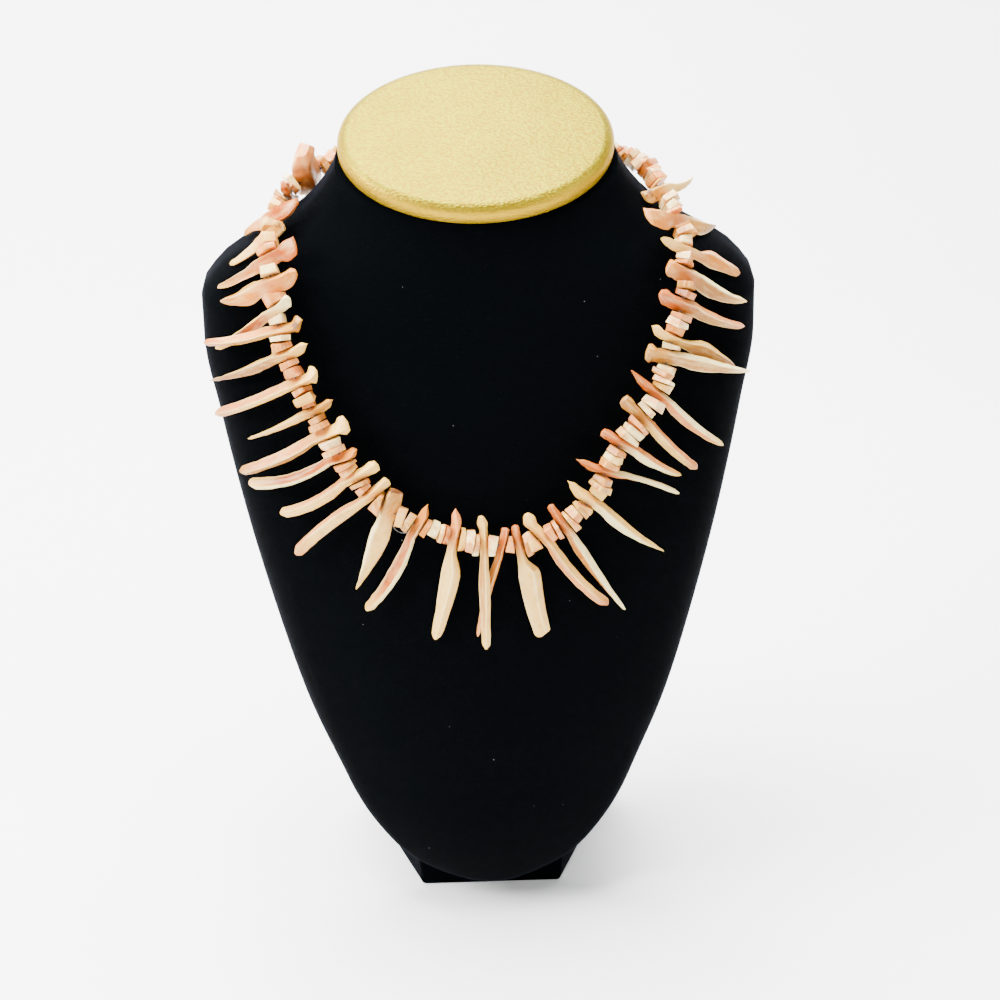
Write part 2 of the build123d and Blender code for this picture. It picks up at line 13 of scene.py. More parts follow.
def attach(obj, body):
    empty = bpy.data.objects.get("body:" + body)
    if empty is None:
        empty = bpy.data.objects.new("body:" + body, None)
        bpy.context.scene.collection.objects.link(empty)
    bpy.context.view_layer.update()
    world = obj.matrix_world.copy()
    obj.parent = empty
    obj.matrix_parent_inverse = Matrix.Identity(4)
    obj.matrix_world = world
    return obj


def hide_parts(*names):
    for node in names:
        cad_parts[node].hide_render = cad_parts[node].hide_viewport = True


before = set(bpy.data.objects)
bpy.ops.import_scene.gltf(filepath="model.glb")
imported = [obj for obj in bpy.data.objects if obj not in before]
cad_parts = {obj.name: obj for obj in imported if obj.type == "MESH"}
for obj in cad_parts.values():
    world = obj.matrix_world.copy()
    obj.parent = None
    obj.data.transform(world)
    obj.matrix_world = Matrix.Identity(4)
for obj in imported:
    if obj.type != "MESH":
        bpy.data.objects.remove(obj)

bl_info = {
    "name": "Shell necklace on a neck bust",
    "version": (1, 0, 0),
    "blender": (4, 5, 0),
    "location": "View3D > Sidebar > Necklace",
    "description": "Builds a necklace of shell tusks and chips on a velvet neck bust",
    "category": "Object",
}

MM = 0.001

# Sections of the form: up is a share of the form's height, out of half its width, lean of its
# lean, rim of its rim, front of the chest depth and back of the neck depth.
FormRow = namedtuple("FormRow", "up out lean rim front back")
FORM_ROWS = [FormRow(*row) for row in (
    (0.036, 0.103, -0.580, 0.50, 0.075, 0.11),
    (0.049, 0.196, -0.547, 0.65, 0.160, 0.17),
    (0.073, 0.321, -0.487, 0.85, 0.310, 0.20),
    (0.106, 0.411, -0.450, 1.00, 0.427, 0.20),
    (0.159, 0.511, -0.400, 1.00, 0.560, 0.20),
    (0.212, 0.580, -0.340, 1.00, 0.660, 0.20),
    (0.301, 0.685, -0.250, 1.00, 0.800, 0.20),
    (0.425, 0.790, -0.133, 1.00, 0.925, 0.22),
    (0.566, 0.889, 0.000, 1.00, 1.000, 0.26),
    (0.690, 0.959, 0.117, 1.00, 0.990, 0.30),
    (0.779, 1.000, 0.192, 1.00, 0.910, 0.35),
    (0.832, 1.000, 0.233, 1.00, 0.850, 0.41),
    (0.874, 0.913, 0.267, 1.00, 0.800, 0.47),
    (0.910, 0.726, 0.292, 1.00, 0.755, 0.58),
    (0.945, 0.590, 0.308, 1.00, 0.705, 0.74),
    (0.991, 0.500, 0.325, 1.00, 0.660, 0.94),
    (1.069, 0.454, 0.367, 1.00, 0.650, 1.00),
)]

# The strand's route in millimetres, from one end of the clasp, down the left and up the right.
ROUTE = [
    (-2.0, 52.0, 276.5), (-20.0, 50.6, 276.0), (-38.5, 45.8, 274.4), (-53.0, 36.2, 271.2),
    (-62.4, 25.6, 268.4), (-69.0, 14.0, 265.0), (-70.8, 0.0, 260.0), (-71.5, -9.0, 253.5),
    (-69.5, -17.0, 243.0), (-68.2, -21.5, 232.0), (-65.0, -25.5, 222.0), (-59.8, -30.0, 211.0),
    (-52.0, -35.3, 198.0), (-42.0, -40.2, 183.0), (-29.5, -44.1, 172.5), (-15.0, -46.2, 167.5),
    (0.0, -47.0, 162.5), (14.0, -46.7, 162.3), (28.5, -44.5, 170.0), (38.5, -41.5, 178.5),
    (43.0, -38.2, 190.0), (50.0, -35.1, 199.0), (58.5, -31.2, 207.5), (62.2, -26.8, 219.0),
    (65.8, -22.3, 231.0), (69.3, -17.3, 242.5), (69.8, -11.5, 252.0), (69.8, -4.0, 258.5),
    (66.2, 3.8, 264.2), (62.9, 13.4, 267.6), (60.2, 23.9, 270.2), (53.4, 36.6, 272.3),
    (38.5, 45.8, 274.0), (20.0, 50.6, 275.8), (2.0, 52.0, 276.5),
]

# Tusks, in order along the strand. at is a share of the strand's length; over and reach are
# shares of the tusk length to the inner end and to the tip; swing is degrees towards the right
# end of the strand; bow is the middle's sideways bow over the reach; head, neck, belly and
# tip are widths as shares of the tusk width, and low is where the belly comes; deep is a share
# of the tusk depth; ridge is where the outer ridge runs, from -1 to 1; twist is degrees from
# neck to tip; hollow says which outer face is a trough, -1 the left one and 1 the right one;
# lift is how far the tip is held off by what lies under it, and proud is how far the whole tusk
# stands out from the thread, as shares of the tusk depth; side says where the belly's width
# past the neck lies, from -1, all to the left, to 1, all to the right.
Tusk = namedtuple(
    "Tusk", "at over reach swing bow head neck belly low tip deep ridge twist hollow lift proud side",
    defaults=[0, 0.0, 0.0, 0.0],
)
TUSKS = [Tusk(*row) for row in (
    (0.131, 0.31, 0.30, -20, 0.00, 2.35, 2.35, 2.10, 0.60, 1.30, 2.30, -0.6, 0, 0, 0.6, 0.44),
    (0.157, 0.26, 0.46, -36, 0.00, 0.80, 0.70, 1.50, 0.62, 0.90, 1.20, -0.3, 0, 0, 0.0, 0.08),
    (0.184, 0.36, 0.53, -14, -0.12, 1.40, 1.30, 1.50, 0.42, 0.60, 1.05, -0.2, 10),
    (0.203, 0.17, 0.54, 14, 0.06, 0.90, 0.75, 0.80, 0.42, 0.40, 0.90, -0.4, 15),
    (0.224, 0.34, 0.66, 9, 0.03, 1.65, 0.95, 0.80, 0.34, 0.30, 0.95, -0.5, 10, 1),
    (0.242, 0.30, 0.63, -1, 0.06, 1.30, 1.30, 1.55, 0.40, 0.40, 0.95, -0.3, 10),
    (0.260, 0.20, 0.85, 20, 0.03, 0.90, 0.75, 0.80, 0.36, 0.50, 0.90, -0.5, 15, 1),
    (0.274, 0.26, 0.84, -1, 0.04, 1.15, 0.75, 0.74, 0.34, 0.50, 1.00, 0.4, 10, 0, 0.9),
    (0.292, 0.27, 0.99, 1, 0.03, 0.70, 0.75, 0.80, 0.38, 0.16, 1.00, -0.4, 20),
    (0.313, 0.25, 1.08, -3, 0.02, 1.25, 0.80, 0.78, 0.32, 0.70, 1.00, 0.3, 10),
    (0.336, 0.26, 0.84, -5, 0.02, 0.60, 0.65, 0.55, 0.34, 0.18, 0.90, -0.3, 20),
    (0.354, 0.27, 1.13, -5, 0.04, 1.35, 0.80, 0.92, 0.36, 0.75, 1.00, 0.5, 10),
    (0.374, 0.18, 1.12, -13, 0.08, 0.50, 0.70, 0.80, 0.46, 0.90, 1.00, 0.5, 10, -1),
    (0.391, 0.28, 0.97, -7, 0.07, 0.90, 0.80, 0.85, 0.36, 0.80, 1.00, -0.3, 10),
    (0.408, 0.24, 1.12, -5, -0.03, 0.75, 0.75, 0.90, 0.34, 0.88, 1.00, -0.4, 15),
    (0.425, 0.23, 0.99, 14, 0.02, 1.12, 1.22, 1.42, 0.32, 0.22, 0.95, -0.6, 5),
    (0.448, 0.24, 1.14, -10, 0.05, 0.40, 0.70, 0.98, 0.50, 0.75, 1.00, 0.5, 10, -1),
    (0.475, 0.30, 1.20, 8, 0.01, 0.65, 0.70, 1.40, 0.36, 0.80, 0.95, 0.3, 25, 0, 0.0, 0.0, 0.5),
    (0.497, 0.29, 1.13, 11, 0.00, 0.75, 0.60, 0.82, 0.40, 0.62, 0.90, 0.3, 20, 0, 1.1),
    (0.510, 0.19, 1.08, -12, -0.02, 0.60, 0.55, 0.58, 0.34, 0.30, 0.80, 0.4, 10),
    (0.522, 0.21, 1.10, 4, -0.03, 0.60, 0.60, 1.60, 0.34, 1.20, 0.90, 0.4, 5, 0, 0.0, 0.0, 0.8),
    (0.540, 0.30, 1.08, 11, -0.05, 0.95, 0.75, 0.85, 0.40, 0.85, 1.00, 0.2, 10),
    (0.557, 0.25, 1.23, 0, -0.02, 0.55, 0.65, 0.90, 0.34, 0.36, 0.95, 0.3, 45),
    (0.583, 0.33, 1.04, 3, -0.04, 0.60, 0.80, 0.92, 0.34, 0.22, 1.00, 0.3, 10),
    (0.607, 0.35, 0.88, 0, 0.03, 0.50, 0.62, 0.50, 0.34, 0.24, 0.90, 0.2, 60),
    (0.630, 0.26, 0.79, 4, -0.04, 0.70, 0.75, 0.82, 0.34, 0.42, 1.00, 0.3, 10),
    (0.653, 0.31, 0.90, -1, -0.03, 0.95, 0.75, 0.76, 0.34, 0.62, 1.00, 0.3, 10),
    (0.673, 0.40, 1.03, -16, -0.04, 0.50, 0.68, 0.82, 0.34, 0.48, 1.00, 0.3, 20),
    (0.700, 0.24, 0.96, 3, -0.02, 1.30, 1.02, 1.10, 0.34, 0.28, 1.00, 0.5, 5, 0, 0.6),
    (0.713, 0.28, 0.84, -9, 0.03, 0.70, 0.65, 1.30, 0.46, 0.36, 0.85, 0.6, 5, -1),
    (0.738, 0.28, 0.81, -4, -0.05, 1.10, 1.02, 0.92, 0.36, 0.46, 1.00, 0.3, 10),
    (0.759, 0.22, 0.79, -15, -0.06, 1.20, 1.15, 1.22, 0.34, 0.40, 1.00, 0.5, 10),
    (0.777, 0.29, 0.71, -7, 0.00, 0.60, 0.65, 1.35, 0.48, 0.75, 0.90, 0.4, 5, 0, 0.0, 0.0, 0.5),
    (0.801, 0.50, 0.72, 6, -0.05, 1.85, 1.10, 1.60, 0.40, 0.24, 1.05, 0.3, 10),
    (0.832, 0.24, 0.58, 33, -0.08, 1.15, 1.10, 0.85, 0.38, 0.20, 0.95, 0.2, 10, 0, 2.4),
)]

# Tints of each tusk in the same order: left face, right face, head and tip. end is the form of
# the head's end.
Look = namedtuple("Look", "left right head tip end")
LOOKS = [Look(*words.split()) for words in (
    "pink white pink pink round", "orange ochre orange orange flat",
    "peach peach orange tan round", "cream cream tan cream round",
    "pink peach orange cream flat", "tan peach peach tan round",
    "cream orange white cream round", "pink tan tan orange pointed",
    "cream ochre cream ochre pointed", "pink cream cream orange round",
    "cream cream tan cream pointed", "pink ochre cream tan flat",
    "orange white peach cream pointed", "pink cream cream cream flat",
    "pink cream cream peach flat", "white cream tan cream flat",
    "orange white peach cream pointed", "cream cream pink cream pointed",
    "tan cream cream cream round", "peach peach orange pink flat",
    "cream cream orange cream flat", "pink cream cream orange round",
    "peach white orange white flat", "white cream cream cream pointed",
    "pink white orange white pointed", "white pink orange cream flat",
    "cream pink ochre orange flat", "pink white orange cream pointed",
    "tan white tan white flat", "ochre cream cream ochre pointed",
    "ochre pink orange pink round", "ochre white peach cream flat",
    "peach pink cream peach pointed", "tan peach peach tan flat",
    "cream white tan white flat",
)]
HEAD_ENDS = {"pointed": 0.14, "round": 0.55, "flat": 0.85}    # width of the end over the head's
CHIP_TINTS = "pink pink pink white white peach peach cream cream tan orange"

CORNER_SHARE = 0.62          # radius of an arch's corners over its rise
FORM_STEP = 3.0 * MM         # height between two rings of the form
SEAT_GAP = 0.2 * MM          # air between the form and its cap or foot
CAP_CROWN = 0.7 * MM         # rise of the padding to the middle of the cap
CORNER_CUT = 0.45            # share of the shorter run that a corner of the route takes
THREAD_STEP = 1.5 * MM       # length between two rings of the thread
LOOP_ENDS = 0.432, 0.4435    # where the slack loop leaves and joins the thread, over its length

NECK_SHARE = 1.04            # half of the stretch between neighbouring chips, over the tusk width
TUSK_BULGE = 0.04            # rise of a rounded face over its chord
TUSK_TROUGH = -0.15          # the same of a hollow face
CORNER_WEAR = 0.16           # how far a corner of the section moves towards its neighbours
HEAD_SLANT = 0.42            # how far a pointed head's end lies aside, over the head's width
END_ROUND = 0.3 * MM         # rounding of a tusk's two ends
TIP_TINT_FROM = 0.72         # share of the reach past which the tip's tint shows
FEW_MARKS, MANY_MARKS = 0.1, 0.9    # strength of the brown marks on clean shell and on a tan head

CHIP_UNEVEN = 0.6, 1.5       # relative thickness of a row's thinnest and thickest chip
CHIP_SLANT = 8               # degrees that the cut between two chips slants at most
CHIP_SIZES = 0.86, 1.12      # smallest and largest chip, over the chip radius
CHIP_CORNERS = 0.84, 1.05    # its nearest and furthest corner, over its own size
CHIP_TURN = 7                # degrees that it is turned on the thread at most
CHIP_SHIFT = 0.5 * MM        # how far it slips off its place at most
CHIP_SLACK = 0.92            # its thickness over that of a tight one
CHIP_DENT = 0.25 * MM        # depth of the dents in its outline

PAPER_REACH = 1.6            # half the paper's width, and how far it comes forward
PAPER_BACK = 0.35            # where it starts to bend up, behind the bust
PAPER_BEND = 0.45            # radius of the bend
PAPER_TOP = 1.8              # height of its upper edge

# Sizes that the patterns repeat at. The pile's tufts and the shell's pores are drawn a few times
# too coarse, because the real ones wouldn't show.
BRUSHED_PATCH = 16.667 * MM         # pile brushed more one way than the other
PILE_TUFT = 0.4 * MM
LINT_SPACING = 6.6667 * MM          # cells with one speck of lint at most
LINT_PATCH = 22.222 * MM            # where lint gathers
GRAIN_WARP = 1.4286 * MM            # unevenness of the rows of pebbles
POLISH_PATCH = 28.571 * MM          # leatherette handled smooth
SHELL_CLOUD = 3.8462 * MM           # clouds of a deeper tint, and brown marks
SHELL_PORE = 0.71429 * MM
WEAR_PATCH = 3.3333 * MM            # thread, metal and paper rubbed smooth
GROWTH_LINE = (130.0, 9.0, 40.0)    # lines per metre along the tusk, per turn round it, and per tusk
PEBBLE_FORM = (0.6, 1.2, 1.2)       # pebbles per unit: they are longer from side to side

Lamp = namedtuple("Lamp", "name place target size power")
LAMPS = [
    Lamp("ceiling", (-0.15, 0.15, 1.35), (0, 0, 0.1), 0.9, 98.0),
    Lamp("window", (-0.95, -0.25, 0.85), (0, 0, 0.2), 0.6, 44.0),
    Lamp("fill", (0.9, -0.6, 0.75), (0, 0, 0.2), 0.5, 9.0),
]
ROOM_LIGHT = 0.4             # strength of the room's own light


def rgb(code):
    """The linear colour of an sRGB hex code."""
    values = [int(code[i:i + 2], 16) / 255 for i in (1, 3, 5)]
    return tuple(v / 12.92 if v <= 0.04045 else ((v + 0.055) / 1.055) ** 2.4 for v in values)


def length_prop(name, default, about):
    return FloatProperty(name=name, description=about, default=default, subtype="DISTANCE", unit="LENGTH")


def angle_prop(name, degrees, about):
    return FloatProperty(name=name, description=about, default=radians(degrees), subtype="ANGLE")


def tint_prop(name, code, about):
    return FloatVectorProperty(name=name, description=about, default=rgb(code), subtype="COLOR",
                               size=3, min=0, max=1)


class FormSettings(bpy.types.PropertyGroup):
    width: length_prop("Width", 0.194, "Width across the shoulders")
    height: length_prop("Height", 0.2825, "Floor to the middle of the sloping neck cut")
    lean: length_prop("Lean", 0.060, "How far the top leans behind the widest part of the chest")
    chest: length_prop("Chest depth", 0.040, "How far the chest bows forward of the side wall")
    neck: length_prop("Neck depth", 0.027, "How far the back of the neck bows behind the side wall")
    rim: length_prop("Rim", 0.006, "Height of the side wall between front and back")
    velvet: tint_prop("Velvet", "#010203", "Colour of the pile")
    # turn is a painted sheen: a lighter grey put into the pile's colour where the form is seen edge on
    turn: tint_prop("Turn", "#0c0e14", "Colour of the pile where the form turns away")
    sheen: tint_prop("Sheen", "#3c4250", "Colour of the pile's haze")
    lint: tint_prop("Lint", "#7c8088", "Colour of the specks of lint")


class CapSettings(bpy.types.PropertyGroup):
    half_width: length_prop("Half width", 0.0475, "Half the oval's width")
    half_depth: length_prop("Half depth", 0.0358, "Half the oval's depth along its slope")
    thickness: length_prop("Thickness", 0.007, "Thickness with its padding")
    roll: length_prop("Roll", 0.004, "Radius of the padded edge")
    tilt: angle_prop("Tilt", 26, "Slope to the front")
    setback: length_prop("Setback", 0.019, "Middle of the cap behind the middle of the foot")
    pebble: length_prop("Pebble", 0.0007, "Size of a pebble of the leatherette")
    gold: tint_prop("Gold", "#807900", "Colour of the leatherette")
    pit: tint_prop("Pit", "#776000", "Colour between the pebbles")
    # edge is painted shade and light: a warmer gold for the shade on the downturned padded edge, brighter
    # than gold to make up for the lamp light it misses
    edge: tint_prop("Edge", "#b28f00", "Colour of the stretched padded edge")


class FootSettings(bpy.types.PropertyGroup):
    front: length_prop("Front", 0.053, "Width of the front edge")
    depth: length_prop("Depth", 0.056, "Front to back")
    height: length_prop("Height", 0.062, "Height of the block")
    flare: angle_prop("Flare", 22, "Angle by which each side opens to the back")
    rake: angle_prop("Rake", 13, "Angle by which the front face leans back")
    edge: length_prop("Edge", 0.0012, "Radius of the covered edges")


class StrandSettings(bpy.types.PropertyGroup):
    chip_radius: length_prop("Chip radius", 0.00425, "Middle of a chip to its corners")
    chip_under: length_prop("Chip under", 0.00365, "Thread to the side of a chip that lies on the velvet")
    chip_thickness: length_prop("Chip thickness", 0.00235, "Mean thickness along the thread")
    chip_taper: length_prop("Chip taper", 0.025, "Distance to the point that a chip's sides meet in")
    chip_edge: length_prop("Chip edge", 0.00022, "Wear of a chip's edges")
    gap: length_prop("Gap", 0.00016, "Air between neighbours on the thread")
    seed: IntProperty(name="Seed", description="Pattern of the chips", default=7)
    clasp_length: length_prop("Clasp length", 0.010, "Length of the barrel")
    clasp_radius: length_prop("Clasp radius", 0.0022, "Radius of the barrel")
    thread_radius: length_prop("Thread radius", 0.0003, "Radius of the thread")
    loop_drop: length_prop("Loop drop", 0.0034, "Ends of the slack loop below the thread")
    loop_sag: length_prop("Loop sag", 0.0016, "How much lower its middle hangs")
    clasp: tint_prop("Clasp", "#b08c4a", "Colour of the barrel")
    thread: tint_prop("Thread", "#4e4c46", "Colour of the thread")


class TuskSettings(bpy.types.PropertyGroup):
    length: length_prop("Length", 0.034, "Unit of the tusks' lengths")
    width: length_prop("Width", 0.005, "Unit of the tusks' widths")
    depth: length_prop("Depth", 0.0054, "Unit of the tusks' depths")
    rest: length_prop("Rest", 0.0004, "Air between a tusk's lowest place and the velvet")
    wear: length_prop("Wear", 0.00022, "Height of the uneven grinding")
    # White also paints the highlight along the corners of the tusks' outer faces, besides their whiter sawn
    # edges
    white: tint_prop("White", "#fae49c", "Sawn edges and tips")
    cream: tint_prop("Cream", "#e8b44e", "Outer layers")
    pink: tint_prop("Pink", "#dc843e", "Inner layers")
    # Peach also paints the shade on the tusks' under faces
    peach: tint_prop("Peach", "#c47218", "Lip")
    orange: tint_prop("Orange", "#aa4f0a", "Deep lip")
    ochre: tint_prop("Ochre", "#9c6208", "Outer skin")
    tan: tint_prop("Tan", "#b07414", "Outer skin, worn")
    brown: tint_prop("Brown", "#52240a", "Marks in the outer skin")


class StageSettings(bpy.types.PropertyGroup):
    paper: tint_prop("Paper", "#fcfcfc", "Colour of the floor and backdrop")
    room: tint_prop("Room", "#f2f5fa", "Colour of the light from the room")
    target: FloatVectorProperty(name="Target", description="What the camera points at",
                                default=(0.0058, -0.012, 0.161), subtype="TRANSLATION", unit="LENGTH")
    distance: length_prop("Distance", 0.760, "Camera to its target")
    lens: FloatProperty(name="Lens", description="Focal length on a 36 mm sensor, in millimetres",
                        default=76.3)
    azimuth: angle_prop("Azimuth", -1.5, "Camera's turn to the right of the front")
    elevation: angle_prop("Elevation", 29, "Camera's height over the target")
    roll: angle_prop("Roll", 0.8, "Camera's roll")


# Shapes

def smooth_value(xs, ys, x):
    """A curve through the given values that never overshoots them."""
    runs = [b - a for a, b in zip(xs, xs[1:])]
    slopes = [(b - a) / run for a, b, run in zip(ys, ys[1:], runs)]
    tangents = [slopes[0]]
    for (run0, run1), (slope0, slope1) in zip(zip(runs, runs[1:]), zip(slopes, slopes[1:])):
        weight0 = 2 * run1 + run0
        weight1 = run1 + 2 * run0
        same_way = slope0 * slope1 > 0
        tangents.append((weight0 + weight1) / (weight0 / slope0 + weight1 / slope1) if same_way else 0.0)
    tangents.append(slopes[-1])
    i = max(0, min(len(runs) - 1, sum(1 for value in xs if value <= x) - 1))
    t = (x - xs[i]) / runs[i]
    start = (1 + 2 * t) * (1 - t) ** 2 * ys[i] + t * (1 - t) ** 2 * runs[i] * tangents[i]
    return start + t * t * (3 - 2 * t) * ys[i + 1] + t * t * (t - 1) * runs[i] * tangents[i + 1]


FormShape = namedtuple("FormShape", "out middle rim front back")


def form_shape(form, z):
    """Half width, middle, side wall, and rises of the front and back arches at a height."""
    ups = [row.up for row in FORM_ROWS]
    out, lean, rim, front, back = [
        smooth_value(ups, [getattr(row, name) for row in FORM_ROWS], z / form.height)
        for name in ("out", "lean", "rim", "front", "back")
    ]
    return FormShape(out * form.width / 2, lean * form.lean, rim * form.rim, front * form.chest,
                     back * form.neck)


def arch_points(span, rise, corner_steps, crown_steps):
    """Points along a three-centred arch from -span to span."""
    corner = CORNER_SHARE * rise
    drop = ((span - corner) ** 2 - (rise - corner) ** 2) / (2 * (rise - corner))
    crown = drop + rise
    shoulder = crown / (crown - corner) * (span - corner)
    turn = atan2(sqrt(crown ** 2 - shoulder ** 2), shoulder)
    half = []
    for i in range(corner_steps):
        angle = turn * i / corner_steps
        half.append((span - corner + corner * cos(angle), corner * sin(angle)))
    for i in range(crown_steps):
        angle = turn + (pi / 2 - turn) * i / crown_steps
        half.append((crown * cos(angle), crown * sin(angle) - drop))
    return [(-x, y) for x, y in half] + [(0, rise)] + half[::-1]


def form_ring(form, z):
    """The form's outline at a height, anticlockwise from its left wall."""
    shape = form_shape(form, z)
    wall = shape.rim / 2
    front = [(x, shape.middle - wall - y) for x, y in arch_points(shape.out, shape.front, 12, 16)]
    back = [(-x, shape.middle + wall + y) for x, y in arch_points(shape.out, shape.back, 12, 16)]
    return [Vector((x, y, z)) for x, y in front + [(shape.out, shape.middle)] + back
            + [(-shape.out, shape.middle)]]


def neck_cut(form, cap):
    """Middle of the sloping neck cut, and the way up from it."""
    return (Vector((0, cap.setback, form.height)), Vector((0, -sin(cap.tilt), cos(cap.tilt))))


def outside(form, point):
    """1 on the form's surface, more outside it and less inside."""
    shape = form_shape(form, point.z)
    rise = (shape.front if point.y < shape.middle else shape.back) + shape.rim / 2
    return ((abs(point.x) / shape.out) ** 2.5 + (abs(point.y - shape.middle) / rise) ** 2.5) ** 0.4


def outward(form, point):
    """The direction that points away from the form's surface."""
    step = 0.5 * MM
    axes = [Vector((1, 0, 0)), Vector((0, 1, 0)), Vector((0, 0, 1))]
    slopes = [outside(form, point + axis * step) - outside(form, point - axis * step) for axis in axes]
    return Vector(slopes).normalized()


def height_over(form, point):
    """How far a point lies over the form's surface, along the outward direction."""
    way = outward(form, point)
    near, far = -10 * MM, 30 * MM
    for _ in range(24):
        middle = (near + far) / 2
        if outside(form, point - way * middle) > 1:
            near = middle
        else:
            far = middle
    return near


Span = namedtuple("Span", "start heading length centre radius")
Seat = namedtuple("Seat", "place along out down")


class Strand:
    """The thread's path over the form: straight runs and the arcs that join them."""

    def __init__(self, form):
        self.form = form
        self.spans = []
        points = [Vector(point) * MM for point in ROUTE]
        leave = points[0]
        for before, corner, after in zip(points, points[1:], points[2:]):
            way_in = (corner - before).normalized()
            way_out = (after - corner).normalized()
            turn = way_in.angle(way_out)
            cut = CORNER_CUT * min((corner - before).length, (after - corner).length)
            radius = cut / tan(turn / 2)
            start = corner - way_in * cut
            inwards = (way_out - way_in * way_in.dot(way_out)).normalized()
            self.spans.append(Span(leave, way_in, (start - leave).length, None, None))
            self.spans.append(Span(start, way_in, radius * turn, start + inwards * radius, radius))
            leave = corner + way_out * cut
        last = points[-1] - leave
        self.spans.append(Span(leave, last.normalized(), last.length, None, None))
        self.length = sum(span.length for span in self.spans)

    def seat_at(self, station):
        """Place on the strand, with the ways along it, out from the form and away from the neck."""
        for span in self.spans:
            if station <= span.length:
                break
            station -= span.length
        run = min(station, span.length)
        place, along = span.start + span.heading * run, span.heading
        if span.centre is not None:
            turn = run / span.radius
            arm = (span.start - span.centre) / span.radius
            place = span.centre + (arm * cos(turn) + span.heading * sin(turn)) * span.radius
            along = span.heading * cos(turn) - arm * sin(turn)
        away = outward(self.form, place)
        out = (away - along * away.dot(along)).normalized()
        return Seat(place, along, out, along.cross(out))


def turned(seat, swing):
    """The seat with its along and down ways turned about the out way by degrees."""
    c, s = cos(radians(swing)), sin(radians(swing))
    return Seat(seat.place, seat.along * c - seat.down * s, seat.out, seat.down * c + seat.along * s)


# Mesh helpers

def start_ring(bm, points):
    """A closed ring of vertices at the given points."""
    ring = bmesh.ops.create_circle(bm, segments=len(points), radius=1.0)["verts"]
    for vert, point in zip(ring, points):
        vert.co = point
    return ring


def next_ring(bm, ring, points):
    """Extrudes a ring to the given points and returns the new ring."""
    edges = [bm.edges.get((a, b)) for a, b in zip(ring, ring[1:] + ring[:1])]
    made = bmesh.ops.extrude_edge_only(bm, edges=edges)["geom"]
    fresh = {item for item in made if isinstance(item, bmesh.types.BMVert)}
    new = [next(edge.other_vert(vert) for edge in vert.link_edges if edge.other_vert(vert) in fresh)
           for vert in ring]
    for vert, point in zip(new, points):
        vert.co = point
    return new


def close_ring(bm, ring):
    """A face over the end of a ring."""
    edges = [bm.edges.get((a, b)) for a, b in zip(ring, ring[1:] + ring[:1])]
    bmesh.ops.contextual_create(bm, geom=ring + edges)


def loft(bm, sections):
    """Skins a list of rings and closes both ends. Returns the rings' vertices."""
    rings = [start_ring(bm, sections[0])]
    for points in sections[1:]:
        rings.append(next_ring(bm, rings[-1], points))
    close_ring(bm, rings[0])
    close_ring(bm, rings[-1])
    return rings


def add_object(name, bm, material=None):
    """An object made of the mesh, shaded smooth where it has a material."""
    mesh = bpy.data.meshes.new(name)
    bm.to_mesh(mesh)
    bm.free()
    if material:
        mesh.shade_smooth()
        mesh.materials.append(material)
    thing = bpy.data.objects.new(name, mesh)
    bpy.context.scene.collection.objects.link(thing)
    return thing


def add_piece(name, bm, material, nodes, sharp=None):
    """Makes an object of the mesh, which rides on the part and stands for its nodes."""
    bmesh.ops.recalc_face_normals(bm, faces=bm.faces)
    piece = add_object(name, bm, material)
    if sharp:
        piece.data.set_sharp_from_angle(angle=radians(sharp))
    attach(piece, "root")
    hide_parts(*nodes)
    return piece


# Materials

def add_node(tree, kind, inputs=(), out=0, **settings):
    """Adds a node with its settings and returns the output asked for. The inputs, by name or in
    their order, are values or outputs that link to them. A Mix node's colours are its inputs 6
    and 7 and its output 2."""
    node = tree.nodes.new("ShaderNode" + kind)
    for name, value in settings.items():
        setattr(node, name, value)
    for name, value in inputs.items() if isinstance(inputs, dict) else enumerate(inputs):
        if isinstance(value, bpy.types.NodeSocket):
            tree.links.new(value, node.inputs[name])
        else:
            node.inputs[name].default_value = value
    return node if out is None else node.outputs[out]


def new_material(name):
    """An empty material and its tree."""
    material = bpy.data.materials.new(name)
    material.use_nodes = True
    material.node_tree.nodes.clear()
    return material, material.node_tree


def finish_material(material, inputs):
    """Adds the shader and the output, and returns the material."""
    shader = add_node(material.node_tree, "BsdfPrincipled", inputs)
    add_node(material.node_tree, "OutputMaterial", {"Surface": shader}, None)
    return material


def material_named(name, make, *settings):
    """The material of that name, made at its first use."""
    return bpy.data.materials.get(name) or make(*settings)


